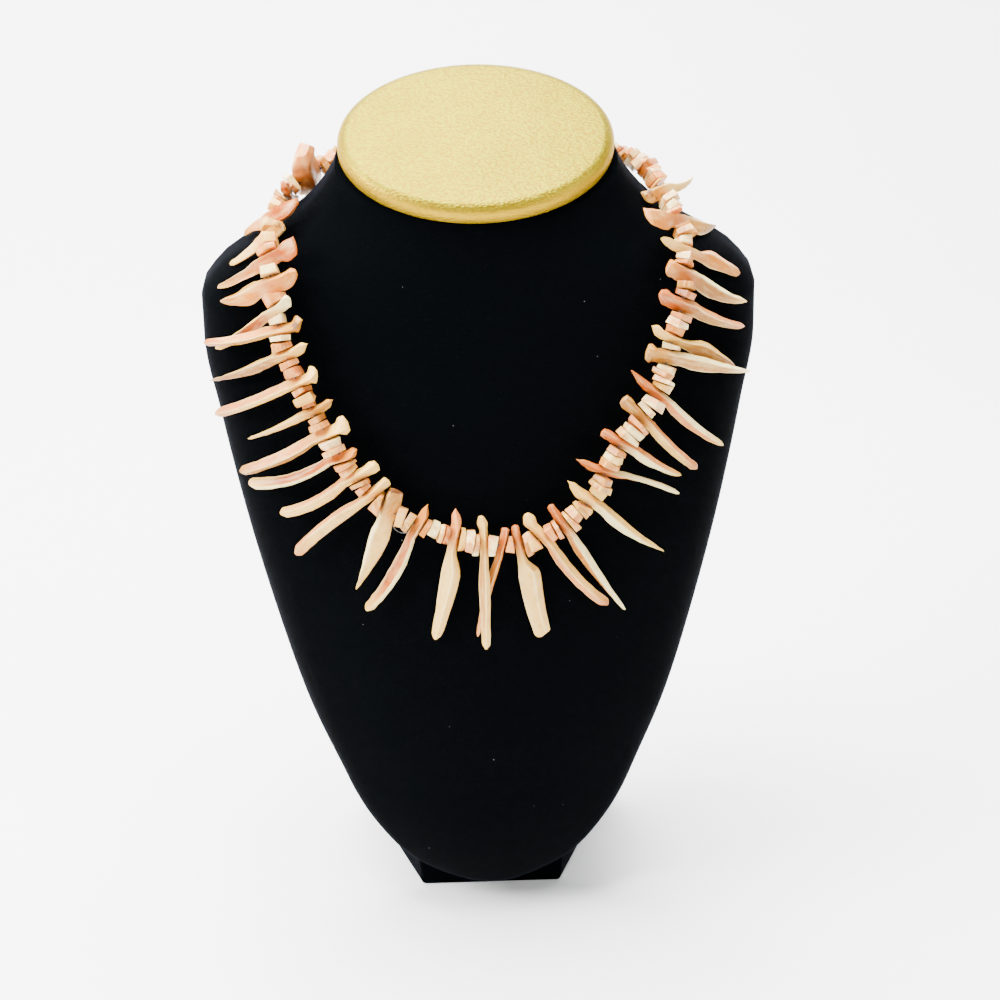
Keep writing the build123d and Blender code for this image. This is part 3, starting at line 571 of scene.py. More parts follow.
def velvet_material(form):
    """Cotton velvet, a dense cut pile: it swallows light, greys a little where it is seen edge on,
    partly by its shader sheen and partly by a painted sheen in its colour, and holds specks of lint."""
    material, tree = new_material("black velvet")
    place = add_node(tree, "TexCoord", out="Object")
    nap = add_node(tree, "TexNoise", {"Vector": place, "Scale": 1 / BRUSHED_PATCH, "Detail": 4.0})
    pile = add_node(tree, "TexNoise", {"Vector": place, "Scale": 1 / PILE_TUFT, "Detail": 2.0})
    dust = add_node(tree, "TexVoronoi", {"Vector": place, "Scale": 1 / LINT_SPACING})
    field = add_node(tree, "TexNoise", {"Vector": place, "Scale": 1 / LINT_PATCH})
    speck = add_node(tree, "MapRange", (dust, 0.030, 0.018))
    rare = add_node(tree, "MapRange", (field, 0.50, 0.56))
    lint = add_node(tree, "Math", (speck, rare), operation="MULTIPLY")
    # Painted sheen: the colour turns to the lighter turn tint where the surface is seen edge on
    facing = add_node(tree, "LayerWeight", {"Blend": 0.5}, "Facing")
    painted_edge_sheen = add_node(tree, "MapRange", (facing, 0.62, 0.95))
    tint = add_node(tree, "Mix", {0: painted_edge_sheen, 6: (*form.velvet, 1), 7: (*form.turn, 1)}, 2,
                    data_type="RGBA")
    return finish_material(material, {
        "Base Color": add_node(tree, "Mix", {0: lint, 6: tint, 7: (*form.lint, 1)}, 2, data_type="RGBA"),
        "Roughness": 0.95, "Specular IOR Level": 0.02,
        "Sheen Weight": add_node(tree, "MapRange", (nap, 0.3, 0.7, 0.015, 0.04)),
        "Sheen Roughness": 0.3, "Sheen Tint": (*form.sheen, 1),
        "Normal": add_node(tree, "Bump", {"Height": pile, "Strength": 0.35, "Distance": 0.3 * MM}),
    })


def leatherette_material(cap, form):
    """Embossed vinyl with a gold foil: soft bright reflections broken by long pebbles. The padded edge
    has painted shade and light: a warmer gold for its shade, brighter than the top's to make up for the
    light it misses."""
    material, tree = new_material("gold leatherette")
    centre, up = neck_cut(form, cap)
    top = centre.dot(up) + cap.thickness
    place = add_node(tree, "TexCoord", out="Object")
    warp = add_node(tree, "TexNoise", {"Vector": place, "Scale": 1 / GRAIN_WARP, "Detail": 1.0}, "Color")
    moved = add_node(tree, "VectorMath", {0: warp, "Scale": 0.4 * cap.pebble}, operation="SCALE")
    warped = add_node(tree, "VectorMath", (place, moved), operation="ADD")
    where = add_node(tree, "VectorMath", (warped, PEBBLE_FORM), operation="MULTIPLY")
    cells = add_node(tree, "TexVoronoi", {"Vector": where, "Scale": 1 / cap.pebble, "Smoothness": 0.6},
                     feature="SMOOTH_F1")
    dome = add_node(tree, "MapRange", (cells, 0.0, 0.75, 1.0, 0.0))
    raised = add_node(tree, "MapRange", (dome, 0.1, 0.55))
    skin = add_node(tree, "Mix", {0: raised, 6: (*cap.pit, 1), 7: (*cap.gold, 1)}, 2, data_type="RGBA")
    height = add_node(tree, "VectorMath", (place, up), "Value", operation="DOT_PRODUCT")
    # Painted shade and light: below the top, the rolled edge takes the edge tint
    painted_rim_mask = add_node(tree, "MapRange", (height, top - 0.5 * cap.roll, top - 0.05 * cap.roll, 1.0, 0.0))
    cloud = add_node(tree, "TexNoise", {"Vector": place, "Scale": 1 / POLISH_PATCH})
    return finish_material(material, {
        "Base Color": add_node(tree, "Mix", {0: painted_rim_mask, 6: skin, 7: (*cap.edge, 1)}, 2, data_type="RGBA"),
        "Metallic": 0.65, "Roughness": add_node(tree, "MapRange", (cloud, 0.3, 0.7, 0.38, 0.46)),
        "Specular IOR Level": 0.05,
        "Normal": add_node(tree, "Bump", {"Height": dome, "Strength": 0.6, "Distance": 0.2 * MM}),
    })


def shell_material(tusks):
    """Ground and polished shell: a soft gloss with pale growth lines along the tusk, clouds of a
    deeper tint, and brown marks where the outer skin is left. The mesh holds its tints."""
    material, tree = new_material("polished shell")
    tint = add_node(tree, "Attribute", out=None, attribute_name="tint")
    grain = add_node(tree, "Attribute", out="Vector", attribute_name="grain")
    place = add_node(tree, "TexCoord", out="Object")
    stretch = add_node(tree, "VectorMath", (grain, GROWTH_LINE), operation="MULTIPLY")
    lines = add_node(tree, "TexNoise", {"Vector": stretch, "Scale": 1.0, "Detail": 3.0})
    cloud = add_node(tree, "TexNoise", {"Vector": place, "Scale": 1 / SHELL_CLOUD, "Detail": 3.0})
    pores = add_node(tree, "TexNoise", {"Vector": place, "Scale": 1 / SHELL_PORE, "Detail": 2.0})
    pale = add_node(tree, "MapRange", (lines, 0.45, 0.75, 0.0, 0.35))
    deep = add_node(tree, "MapRange", (cloud, 0.5, 0.8, 0.0, 0.25))
    brown = add_node(tree, "MapRange", (cloud, 0.56, 0.64))
    marks = add_node(tree, "Math", (tint.outputs["Alpha"], brown), operation="MULTIPLY")
    colour = tint.outputs["Color"]
    for share, over in ((pale, tusks.white), (deep, tusks.peach), (marks, tusks.brown)):
        colour = add_node(tree, "Mix", {0: share, 6: colour, 7: (*over, 1)}, 2, data_type="RGBA")
    return finish_material(material, {
        "Base Color": colour,
        "Roughness": add_node(tree, "MapRange", (cloud, 0.3, 0.7, 0.24, 0.36)),
        "Specular IOR Level": 0.3,
        "Subsurface Weight": 0.08, "Subsurface Radius": (1.0, 0.5, 0.3), "Subsurface Scale": 0.6 * MM,
        "Normal": add_node(tree, "Bump", {"Height": pores, "Strength": 0.4, "Distance": 0.2 * MM}),
    })


def plain_material(name, tint, roughness, metallic=0.0):
    """Nylon, satin brass or matt paper: one even tint, a little more polished in patches."""
    material, tree = new_material(name)
    place = add_node(tree, "TexCoord", out="Object")
    wear = add_node(tree, "TexNoise", {"Vector": place, "Scale": 1 / WEAR_PATCH})
    return finish_material(material, {
        "Base Color": (*tint, 1), "Metallic": metallic,
        "Roughness": add_node(tree, "MapRange", (wear, 0.3, 0.7, roughness - 0.05, roughness + 0.05)),
    })


# Tusks

Stage = namedtuple("Stage", "run width depth trough twist")
SIDE_STEPS = 6
STAGE_STEPS = 4


def tusk_stages(sizes, tusk, end):
    """Distances along the tusk from its hole, with the section's sizes there."""
    over = tusk.over * sizes.length
    reach = tusk.reach * sizes.length
    head, neck, belly, tip = [share * sizes.width for share in (tusk.head, tusk.neck, tusk.belly, tusk.tip)]
    deep = tusk.deep * sizes.depth
    slot = NECK_SHARE * sizes.width
    knob = slot + (over - slot) * 0.45
    return [
        Stage(-over, end * head, 0.45 * deep, 0.0, 0.0),
        Stage(-knob, head, 0.80 * deep, 0.0, 0.0),
        Stage(-slot * 0.9, 0.97 * neck, 0.95 * deep, 0.0, 0.0),
        Stage(0.3 * slot, neck, deep, 0.0, 0.0),
        Stage(slot, 0.97 * neck, 0.85 * deep, 0.4, 0.1),
        Stage(max(tusk.low * reach, slot + 2.0 * MM), belly, 0.62 * deep, 1.0, 0.4),
        Stage(0.74 * reach, 0.4 * belly + 0.6 * tip, 0.50 * deep, 1.0, 0.8),
        Stage(0.95 * reach, tip, 0.36 * deep, 0.6, 1.0),
        Stage(reach, 0.45 * tip, 0.18 * deep, 0.0, 1.0),
    ]


def tusk_way(sizes, strand, tusk):
    """The tusk's seat, swung to its angle and leaned until it rests on the form."""
    seat = turned(strand.seat_at(tusk.at * strand.length), tusk.swing)
    leans = []
    for stage in tusk_stages(sizes, tusk, HEAD_ENDS["round"]):
        if stage.run > NECK_SHARE * sizes.width:
            under = stage.depth / 2 - tusk.proud * sizes.depth + sizes.rest
            over_form = height_over(strand.form, seat.place + seat.down * stage.run)
            leans.append((over_form - under) / stage.run)
    lean = min(leans) - tusk.lift * sizes.depth / (tusk.reach * sizes.length)
    down = (seat.down - seat.out * lean).normalized()
    return Seat(seat.place, seat.along, down.cross(seat.along), down)


def section_at(stages, run):
    """The section's sizes at any distance along the tusk."""
    runs = [stage.run for stage in stages]
    values = [smooth_value(runs, [getattr(stage, name) for stage in stages], run)
              for name in ("width", "depth", "trough", "twist")]
    return Stage(run, *values)


def tusk_section(sizes, tusk, way, stage):
    """Points of one section: two edges, an outer ridge and a flatter inner ridge."""
    twist = radians(tusk.twist * stage.twist)
    c, s = cos(twist), sin(twist)
    free = tusk.reach * sizes.length - NECK_SHARE * sizes.width
    share = max(0.0, (stage.run - NECK_SHARE * sizes.width) / free)
    aside = tusk.bow * free * 4 * share * (1 - share)
    if stage.run > 0:
        aside += tusk.side * max(0.0, stage.width - tusk.neck * sizes.width) / 2
    middle = way.place + way.down * stage.run + way.along * aside + way.out * (tusk.proud * sizes.depth)
    across = way.along * c + way.out * s
    up = way.out * c - way.along * s
    half = stage.width / 2
    corners = [(-half, -0.12 * stage.depth), (tusk.ridge * half, 0.5 * stage.depth),
               (half, -0.12 * stage.depth), (-0.3 * tusk.ridge * half, -0.5 * stage.depth)]
    flat = []
    for side, ((x0, y0), (x1, y1)) in enumerate(zip(corners, corners[1:] + corners[:1])):
        bulge = TUSK_BULGE
        if (side, tusk.hollow) in ((0, -1), (1, 1)):
            bulge += (TUSK_TROUGH - TUSK_BULGE) * stage.trough
        for k in range(SIDE_STEPS):
            t = k / SIDE_STEPS
            rise = 4 * t * (1 - t) * bulge
            flat.append(Vector((x0 + (x1 - x0) * t - (y1 - y0) * rise,
                                y0 + (y1 - y0) * t + (x1 - x0) * rise)))
    soft = [point.lerp((before + after) / 2, CORNER_WEAR)
            for before, point, after in zip(flat[-1:] + flat[:-1], flat, flat[1:] + flat[:1])]
    return middle, [middle + across * p.x + up * p.y for p in soft]


def blend_tints(a, b, share):
    return [x + (y - x) * max(0.0, min(1.0, share)) for x, y in zip(a, b)]


def tusk_tint(sizes, tusk, look, run, index):
    """The tint at a distance along the tusk and a place round its section: the corners of the
    outer faces are pale, partly whiter sawn shell and partly painted highlight, the under faces carry
    painted shade, and the head's and the tip's tints fade into the faces'."""
    left, right, head, tip = [getattr(sizes, name) for name in look[:4]]
    side, t = divmod(index / SIDE_STEPS, 1.0)
    # Painted shade: the two under faces, towards the velvet, are tinted half way to peach
    faces = [left, right, blend_tints(right, sizes.peach, 0.5), blend_tints(left, sizes.peach, 0.5)]
    tint = faces[int(side) % 4]
    # The corners of the two outer faces are paled towards white: partly the whiter sawn shell, partly a
    # painted highlight along the ridge and edges
    if side < 2:
        corner = max(0.0, 1 - 8 * min(t, 1 - t))
        tint = blend_tints(tint, sizes.white, 0.6 * corner)
    slot = NECK_SHARE * sizes.width
    tint = blend_tints(tint, head, 0.9 * (1.5 * slot - run) / (1.9 * slot))
    reach = tusk.reach * sizes.length
    return blend_tints(tint, tip, 0.8 * (run / reach - TIP_TINT_FROM) / 0.25)


def build_tusk(bm, sizes, strand, tusk, look, number):
    """Lofts one tusk with its rounded ends, and gives it tints and the way of its grain."""
    way = tusk_way(sizes, strand, tusk)
    end = HEAD_ENDS[look.end]
    stages = tusk_stages(sizes, tusk, end)
    upper = 1 if way.along.z > 0 else -1
    slant = HEAD_SLANT * (1 - end) * tusk.head * sizes.width * upper
    tints = bm.verts.layers.float_color.new("tint")
    grain = bm.verts.layers.float_vector.new("grain")
    runs = []
    for a, b in zip(stages, stages[1:]):
        runs += [a.run + (b.run - a.run) * k / STAGE_STEPS for k in range(STAGE_STEPS)]
    runs.append(stages[-1].run)
    shift = Vector((number * 3.7, number * 1.9, 0))
    sections = []
    for run in runs:
        middle, points = tusk_section(sizes, tusk, way, section_at(stages, run))
        uneven = [1 + sizes.wear * (noise.noise(p * 420 + shift) + 0.5 * noise.noise(p * 1100 + shift))
                  / max((p - middle).length, 0.3 * MM) for p in points]
        aside = way.along * (slant * max(0.0, run / stages[0].run - 0.5) * 2)
        sections.append([middle + (p - middle) * k + aside for p, k in zip(points, uneven)])
    for index, step, at in ((0, -END_ROUND, 0), (-1, END_ROUND, len(sections))):
        ring = sections[index]
        middle = sum(ring, Vector()) / len(ring)
        sections.insert(at, [middle + (p - middle) * 0.55 + way.down * step for p in ring])
        runs.insert(at, runs[index] + step)
    for run, ring in zip(runs, loft(bm, sections)):
        marked = run < -0.9 * NECK_SHARE * sizes.width and look.head == "tan"
        for index, vert in enumerate(ring):
            vert[tints] = (*tusk_tint(sizes, tusk, look, run, index), MANY_MARKS if marked else FEW_MARKS)
            vert[grain] = (run, index / len(ring), number)


# Chips

Cut = namedtuple("Cut", "station swing place normal")


def cut_at(strand, station, swing, nod):
    """A slanted cut across the strand: swing turns it sideways and nod tips it out."""
    seat = turned(strand.seat_at(station), swing)
    return Cut(station, swing, seat.place, seat.along * cos(radians(nod)) + seat.out * sin(radians(nod)))


def tusk_cut(settings, sizes, strand, tusk, side):
    """The cut along one side of a tusk: -1 before it and 1 after it."""
    station = tusk.at * strand.length
    half = (tusk.neck * sizes.width + settings.gap) / 2
    seat = turned(strand.seat_at(station), tusk.swing)
    return Cut(station + side * half, tusk.swing, seat.place + seat.along * (side * half), seat.along)


def chip_rows(settings, sizes, strand):
    """The rows of chips between tusks, each as the cuts that part them."""
    dice = random.Random(settings.seed)
    margin = settings.clasp_length / 2 - ROUTE[-1][0] * MM + settings.gap
    stops = [cut_at(strand, margin, 0, 0)]
    for tusk in TUSKS:
        stops += [tusk_cut(settings, sizes, strand, tusk, -1), tusk_cut(settings, sizes, strand, tusk, 1)]
    stops.append(cut_at(strand, strand.length - margin, 0, 0))
    rows = []
    for first, last in zip(stops[::2], stops[1::2]):
        room = last.station - first.station
        count = int(room / settings.chip_thickness + 0.35)
        marks = [dice.uniform(*CHIP_UNEVEN) for _ in range(count)]
        row = [first]
        share = 0.0
        for mark, after in zip(marks, marks[1:]):
            share += mark / sum(marks)
            slant = CHIP_SLANT * min(1.0, mark, after)
            swing = first.swing + (last.swing - first.swing) * share + dice.uniform(-slant, slant)
            row.append(cut_at(strand, first.station + room * share, swing, dice.uniform(-slant, slant)))
        if count > 0:
            rows.append(row + [last])
    return rows


def chip_outline(settings, dice):
    """Corners of a broken tile; a large one stands further out than the thread."""
    count = dice.choice((4, 5, 5, 6))
    start = dice.uniform(0, 360)
    size = settings.chip_radius * dice.uniform(*CHIP_SIZES)
    corners = []
    for i in range(count):
        angle = radians(start + 360 * (i + dice.uniform(-0.22, 0.22)) / count)
        radius = size * dice.uniform(*CHIP_CORNERS)
        corners.append((size - settings.chip_under + radius * cos(angle), radius * sin(angle)))
    return corners


def build_chip(bm, settings, sizes, strand, cut0, cut1, dice, look):
    """A worn tile between two cuts, whose sides lean to a common point."""
    seat = turned(strand.seat_at((cut0.station + cut1.station) / 2), (cut0.swing + cut1.swing) / 2)
    apex = seat.place + seat.along * (settings.chip_taper * dice.choice((-1, 1)) * dice.uniform(0.8, 2.0))
    rings = [], []
    for out, down in chip_outline(settings, dice):
        way = seat.place + seat.out * out + seat.down * down - apex
        for ring, cut, side in ((rings[0], cut0, 1), (rings[1], cut1, -1)):
            reach = (cut.place - apex).dot(cut.normal) + side * settings.gap / 2
            ring.append(apex + way * (reach / way.dot(cut.normal)))
    chip = bmesh.new()
    loft(chip, rings)
    slip = (seat.down * look.uniform(-1, 1) + seat.out * look.uniform(0, 1)) * CHIP_SHIFT
    chip.transform(Matrix.Translation(seat.place + slip)
                   @ Matrix.Rotation(radians(look.uniform(-CHIP_TURN, CHIP_TURN)), 4, seat.down)
                   @ Matrix.Rotation(radians(look.uniform(-CHIP_TURN, CHIP_TURN)), 4, seat.out)
                   @ Matrix.Scale(CHIP_SLACK, 4, seat.along) @ Matrix.Translation(-seat.place))
    bmesh.ops.recalc_face_normals(chip, faces=chip.faces)
    bmesh.ops.bevel(chip, geom=chip.edges[:], offset=settings.chip_edge * look.uniform(0.6, 1.3),
                    offset_type="OFFSET", segments=2, profile=0.6, affect="EDGES")
    bmesh.ops.triangulate(chip, faces=[face for face in chip.faces if len(face.verts) > 4])
    bmesh.ops.subdivide_edges(chip, edges=[e for e in chip.edges if e.calc_length() > 1.2 * MM],
                              cuts=1, use_grid_fill=True)
    tints = chip.verts.layers.float_color.new("tint")
    grain = chip.verts.layers.float_vector.new("grain")
    body, face = [getattr(sizes, look.choice(CHIP_TINTS.split())) for _ in range(2)]
    seed = look.uniform(0, 50)
    for vert in chip.verts:
        where = vert.co - seat.place
        wave = noise.noise(vert.co * 500 + Vector((seed, 0, 0)))
        inner = (where - seat.along * where.dot(seat.along)).normalized()
        vert.co += inner * (CHIP_DENT * min(wave, 0.0))
        vert[tints] = (*blend_tints(body, face, 0.5 + 1.6 * wave), FEW_MARKS)
        vert[grain] = (where.dot(seat.down), where.dot(seat.out) / settings.chip_radius, seed)
    mesh = bpy.data.meshes.new("chip")
    chip.to_mesh(mesh)
    chip.free()
    bm.from_mesh(mesh)
    bpy.data.meshes.remove(mesh)


# Operators

def foot_corners(foot, height, margin=0.0):
    """Corners of the foot's outline at a height, with an even margin round it."""
    half = foot.depth / 2 + margin
    front = foot.front / 2 - tan(foot.flare) * margin + margin / cos(foot.flare)
    set_back = max(0.0, height) * tan(foot.rake)
    y0 = -half + set_back
    x0 = front + set_back * tan(foot.flare)
    x1 = front + 2 * half * tan(foot.flare)
    return [Vector((-x0, y0, height)), Vector((x0, y0, height)), Vector((x1, half, height)),
            Vector((-x1, half, height))]


class NECKLACE_OT_form(bpy.types.Operator):
    """Builds the velvet form, cut for the cap and notched over the foot"""
    bl_idname = "necklace.form"
    bl_label = "Velvet form"

    def execute(self, context):
        form = context.scene.bust_form
        heights = []
        for a, b in zip(FORM_ROWS, FORM_ROWS[1:]):
            steps = max(3, int((b.up - a.up) * form.height / FORM_STEP))
            heights += [a.up + (b.up - a.up) * k / steps for k in range(steps)]
        heights.append(FORM_ROWS[-1].up)
        sections = [form_ring(form, up * form.height) for up in heights]
        low = sections[0]
        middle = sum(low, Vector()) / len(low)
        for shrink, drop in ((0.75, 0.7), (0.4, 1.1)):
            sections.insert(0, [middle + (p - middle) * shrink - Vector((0, 0, drop * MM)) for p in low])
        bm = bmesh.new()
        loft(bm, sections)
        centre, up = neck_cut(form, context.scene.bust_cap)
        made = bmesh.ops.bisect_plane(bm, geom=bm.verts[:] + bm.edges[:] + bm.faces[:],
                                      plane_co=centre - up * SEAT_GAP, plane_no=up, clear_outer=True)
        bmesh.ops.contextual_create(bm, geom=made["geom_cut"])
        velvet = material_named("black velvet", velvet_material, form)
        piece = add_piece("velvet_form", bm, velvet, ["bust_form"], sharp=50)
        self.notch(piece, context.scene.bust_foot)
        return {"FINISHED"}

    def notch(self, piece, foot):
        """Cuts the foot's place out of the back of the form."""
        bm = bmesh.new()
        loft(bm, [foot_corners(foot, height, SEAT_GAP) for height in (-5 * MM, foot.height + SEAT_GAP)])
        bmesh.ops.recalc_face_normals(bm, faces=bm.faces)
        cutter = add_object("notch", bm)
        modifier = piece.modifiers.new("notch", "BOOLEAN")
        modifier.object = cutter
        modifier.operation = "DIFFERENCE"
        modifier.solver = "EXACT"
        ready = piece.evaluated_get(bpy.context.evaluated_depsgraph_get())
        piece.data = bpy.data.meshes.new_from_object(ready)
        piece.modifiers.clear()
        bpy.data.objects.remove(cutter)


class NECKLACE_OT_cap(bpy.types.Operator):
    """Builds the padded oval cap on the neck"""
    bl_idname = "necklace.cap"
    bl_label = "Padded cap"

    def execute(self, context):
        form, cap = context.scene.bust_form, context.scene.bust_cap
        profile = [(cap.half_depth * 0.5, 0.0), (cap.half_depth - 1.5 * MM, 0.0),
                   (cap.half_depth - 0.4 * MM, 0.25 * MM), (cap.half_depth, 1.2 * MM),
                   (cap.half_depth, cap.thickness - cap.roll)]
        for k in range(1, 9):
            angle = pi / 2 * k / 8
            profile.append((cap.half_depth - cap.roll * (1 - cos(angle)),
                            cap.thickness - cap.roll * (1 - sin(angle))))
        crown = cap.half_depth - cap.roll
        for share in (0.9, 0.78, 0.62, 0.45, 0.28, 0.12):
            profile.append((crown * share, cap.thickness + CAP_CROWN * (1 - share ** 2)))
        slope = Matrix.Rotation(cap.tilt, 4, "X")
        centre, _ = neck_cut(form, cap)
        extra = cap.half_width - cap.half_depth
        sections = []
        for radius, height in profile:
            wide = radius + extra * min(1.0, radius / crown)
            sections.append([centre + slope @ Vector((wide * cos(a), radius * sin(a), height))
                             for a in (2 * pi * i / 120 for i in range(120))])
        bm = bmesh.new()
        loft(bm, sections)
        gold = material_named("gold leatherette", leatherette_material, cap, form)
        piece = add_piece("padded_cap", bm, gold, ["neck_cap"])
        return {"FINISHED"}


class NECKLACE_OT_foot(bpy.types.Operator):
    """Builds the covered foot block"""
    bl_idname = "necklace.foot"
    bl_label = "Foot"

    def execute(self, context):
        foot = context.scene.bust_foot
        bm = bmesh.new()
        loft(bm, [foot_corners(foot, 0.0), foot_corners(foot, foot.height)])
        bmesh.ops.recalc_face_normals(bm, faces=bm.faces)
        bmesh.ops.bevel(bm, geom=bm.edges[:], offset=foot.edge, offset_type="OFFSET", segments=4,
                        profile=0.5, affect="EDGES")
        velvet = material_named("black velvet", velvet_material, context.scene.bust_form)
        add_piece("covered_foot", bm, velvet, ["foot"], sharp=60)
        return {"FINISHED"}


class NECKLACE_OT_thread(bpy.types.Operator):
    """Builds the thread with its slack loop, and the barrel clasp"""
    bl_idname = "necklace.thread"
    bl_label = "Thread and clasp"

    def execute(self, context):
        settings = context.scene.strand
        strand = Strand(context.scene.bust_form)
        nylon = material_named("nylon thread", plain_material, "nylon thread", settings.thread, 0.3)
        metal = material_named("satin metal", plain_material, "satin metal", settings.clasp, 0.32, 1.0)
        bm = bmesh.new()
        count = int(strand.length / THREAD_STEP)
        loft(bm, [self.ring(strand.seat_at(strand.length * i / count), settings.thread_radius, 8)
                  for i in range(count + 1)])
        add_piece("nylon_thread", bm, nylon, ["thread"])
        self.slack_loop(strand, settings, nylon)
        self.clasp(settings, metal)
        return {"FINISHED"}

    def slack_loop(self, strand, settings, nylon):
        """Builds the short loop of spare thread that hangs between two chips."""
        start, end = [share * strand.length for share in LOOP_ENDS]
        sections = []
        for i in range(21):
            t = i / 20
            seat = strand.seat_at(start + (end - start) * t)
            sag = 4 * t * (1 - t)
            shift = seat.down * (settings.loop_drop + settings.loop_sag * sag) + seat.out * (MM * (1 - sag))
            sections.append([p + shift for p in self.ring(seat, 0.5 * settings.thread_radius, 6)])
        bm = bmesh.new()
        loft(bm, sections)
        add_piece("slack_loop", bm, nylon, [])

    def clasp(self, settings, metal):
        """Builds two halves that meet at a shallow groove, each stepped down to its end."""
        half, radius = settings.clasp_length / 2, settings.clasp_radius
        middle = (Vector(ROUTE[0]) + Vector(ROUTE[-1])) * (MM / 2)
        side = [(1.0, 0.35), (1.0, 0.62), (0.96, 0.70), (0.86, 0.72), (0.84, 0.92), (0.78, 1.0),
                (0.08, 1.0), (0.04, 0.95)]
        profile = [(-half * at, share) for at, share in side]
        profile += [(half * at, share) for at, share in side[::-1]]
        seat = Seat(middle, Vector((1, 0, 0)), Vector((0, 1, 0)), Vector((0, 0, 1)))
        bm = bmesh.new()
        loft(bm, [[p + seat.along * x for p in self.ring(seat, radius * share, 32)] for x, share in profile])
        add_piece("clasp_barrel", bm, metal, ["barrel_clasp"], sharp=35)

    def ring(self, seat, radius, count):
        """A circle of points across the thread."""
        return [seat.place + (seat.out * cos(a) + seat.down * sin(a)) * radius
                for a in (2 * pi * i / count for i in range(count))]


class NECKLACE_OT_tusks(bpy.types.Operator):
    """Builds the ground shell tusks"""
    bl_idname = "necklace.tusks"
    bl_label = "Tusks"

    def execute(self, context):
        sizes = context.scene.tusks
        strand = Strand(context.scene.bust_form)
        shell = material_named("polished shell", shell_material, sizes)
        for number, (tusk, look) in enumerate(zip(TUSKS, LOOKS), 1):
            bm = bmesh.new()
            build_tusk(bm, sizes, strand, tusk, look, number)
            node = f"tusk_{number:02d}"
            add_piece(f"shell_{node}", bm, shell, [node], sharp=20)
        return {"FINISHED"}


class NECKLACE_OT_chips(bpy.types.Operator):
    """Builds the shell chips between the tusks and round the nape"""
    bl_idname = "necklace.chips"
    bl_label = "Chips"

    def execute(self, context):
        settings, sizes = context.scene.strand, context.scene.tusks
        strand = Strand(context.scene.bust_form)
        shell = material_named("polished shell", shell_material, sizes)
        dice = random.Random(settings.seed + 1)
        look = random.Random(settings.seed + 2)
        halves = {"chips_left": bmesh.new(), "chips_right": bmesh.new()}
        for row in chip_rows(settings, sizes, strand):
            for cut0, cut1 in zip(row, row[1:]):
                side = "chips_left" if cut1.station < strand.length / 2 else "chips_right"
                build_chip(halves[side], settings, sizes, strand, cut0, cut1, dice, look)
        for node, bm in halves.items():
            add_piece(f"shell_{node}", bm, shell, [node], sharp=30)
        return {"FINISHED"}


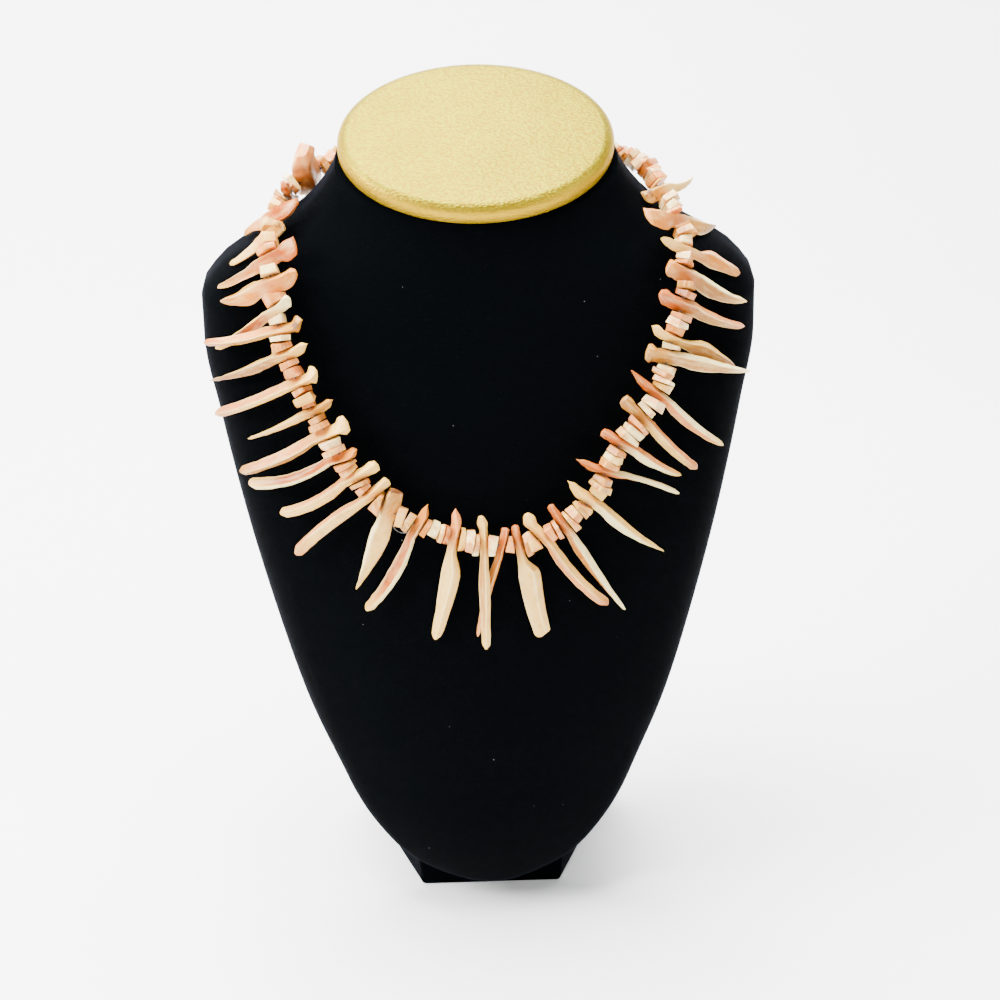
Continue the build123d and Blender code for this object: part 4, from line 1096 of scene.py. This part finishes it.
class NECKLACE_OT_stage(bpy.types.Operator):
    """Builds the paper sweep, the lights and the camera"""
    bl_idname = "necklace.stage"
    bl_label = "Stage"

    def execute(self, context):
        stage = context.scene.photo_stage
        bm = bmesh.new()
        line = [(-PAPER_REACH, 0.0), (PAPER_BACK, 0.0)]
        line += [(PAPER_BACK + PAPER_BEND * sin(a), PAPER_BEND * (1 - cos(a)))
                 for a in (radians(10 * k) for k in range(1, 10))]
        line.append((PAPER_BACK + PAPER_BEND, PAPER_TOP))
        row = [bm.verts.new((-PAPER_REACH, *line[0]))]
        bmesh.ops.extrude_vert_indiv(bm, verts=row)
        bm.verts.ensure_lookup_table()
        bm.verts[1].co = Vector((PAPER_REACH, *line[0]))
        edges = bm.edges[:]
        for y, z in line[1:]:
            made = bmesh.ops.extrude_edge_only(bm, edges=edges)["geom"]
            edges = [item for item in made if isinstance(item, bmesh.types.BMEdge)]
            for vert in {v for edge in edges for v in edge.verts}:
                vert.co.y, vert.co.z = y, z
        add_object("paper_sweep", bm, plain_material("paper", stage.paper, 0.9))
        world = bpy.data.worlds.new("room")
        world.use_nodes = True
        background = world.node_tree.nodes["Background"]
        background.inputs["Color"].default_value = (*stage.room, 1)
        background.inputs["Strength"].default_value = ROOM_LIGHT
        context.scene.world = world
        for lamp in LAMPS:
            light = bpy.data.lights.new(lamp.name, "AREA")
            light.size = lamp.size
            light.energy = lamp.power
            holder = bpy.data.objects.new(lamp.name, light)
            holder.location = lamp.place
            way = Vector(lamp.target) - Vector(lamp.place)
            holder.rotation_euler = way.to_track_quat("-Z", "Y").to_euler()
            context.scene.collection.objects.link(holder)
        self.camera(context, stage)
        return {"FINISHED"}

    def camera(self, context, stage):
        az, el = stage.azimuth, stage.elevation
        back = Vector((sin(az) * cos(el), -cos(az) * cos(el), sin(el)))
        level = Vector((cos(az), sin(az), 0))
        lift = back.cross(level)
        c, s = cos(stage.roll), sin(stage.roll)
        right = level * c - lift * s
        up = level * s + lift * c
        data = bpy.data.cameras.new("camera")
        data.lens = stage.lens
        data.sensor_width = 36.0
        camera = bpy.data.objects.new("camera", data)
        turn = Matrix((right, up, back)).transposed().to_4x4()
        camera.matrix_world = Matrix.Translation(Vector(stage.target) + back * stage.distance) @ turn
        context.scene.collection.objects.link(camera)
        context.scene.camera = camera


OPERATORS = (NECKLACE_OT_form, NECKLACE_OT_cap, NECKLACE_OT_foot, NECKLACE_OT_thread, NECKLACE_OT_tusks,
             NECKLACE_OT_chips, NECKLACE_OT_stage)
GROUPS = {"bust_form": FormSettings, "bust_cap": CapSettings, "bust_foot": FootSettings,
          "strand": StrandSettings, "tusks": TuskSettings, "photo_stage": StageSettings}


class NECKLACE_PT_panel(bpy.types.Panel):
    """Lists the pieces' settings and the buttons that build them"""
    bl_idname = "NECKLACE_PT_panel"
    bl_label = "Necklace"
    bl_space_type = "VIEW_3D"
    bl_region_type = "UI"
    bl_category = "Necklace"

    def draw(self, context):
        for name, group in GROUPS.items():
            box = self.layout.box()
            box.label(text=name.replace("_", " "))
            for prop in group.__annotations__:
                box.prop(getattr(context.scene, name), prop)
        for operator in OPERATORS:
            self.layout.operator(operator.bl_idname)


def register():
    for kind in (*GROUPS.values(), *OPERATORS, NECKLACE_PT_panel):
        bpy.utils.register_class(kind)
    for name, group in GROUPS.items():
        setattr(bpy.types.Scene, name, PointerProperty(type=group))


def unregister():
    for name in GROUPS:
        delattr(bpy.types.Scene, name)
    for kind in (NECKLACE_PT_panel, *reversed(OPERATORS), *GROUPS.values()):
        bpy.utils.unregister_class(kind)


def main():
    register()
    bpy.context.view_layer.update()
    bpy.ops.necklace.form()
    bpy.ops.necklace.cap()
    bpy.ops.necklace.foot()
    bpy.ops.necklace.thread()
    bpy.ops.necklace.tusks()
    bpy.ops.necklace.chips()
    bpy.ops.necklace.stage()


if __name__ == "__main__":
    main()
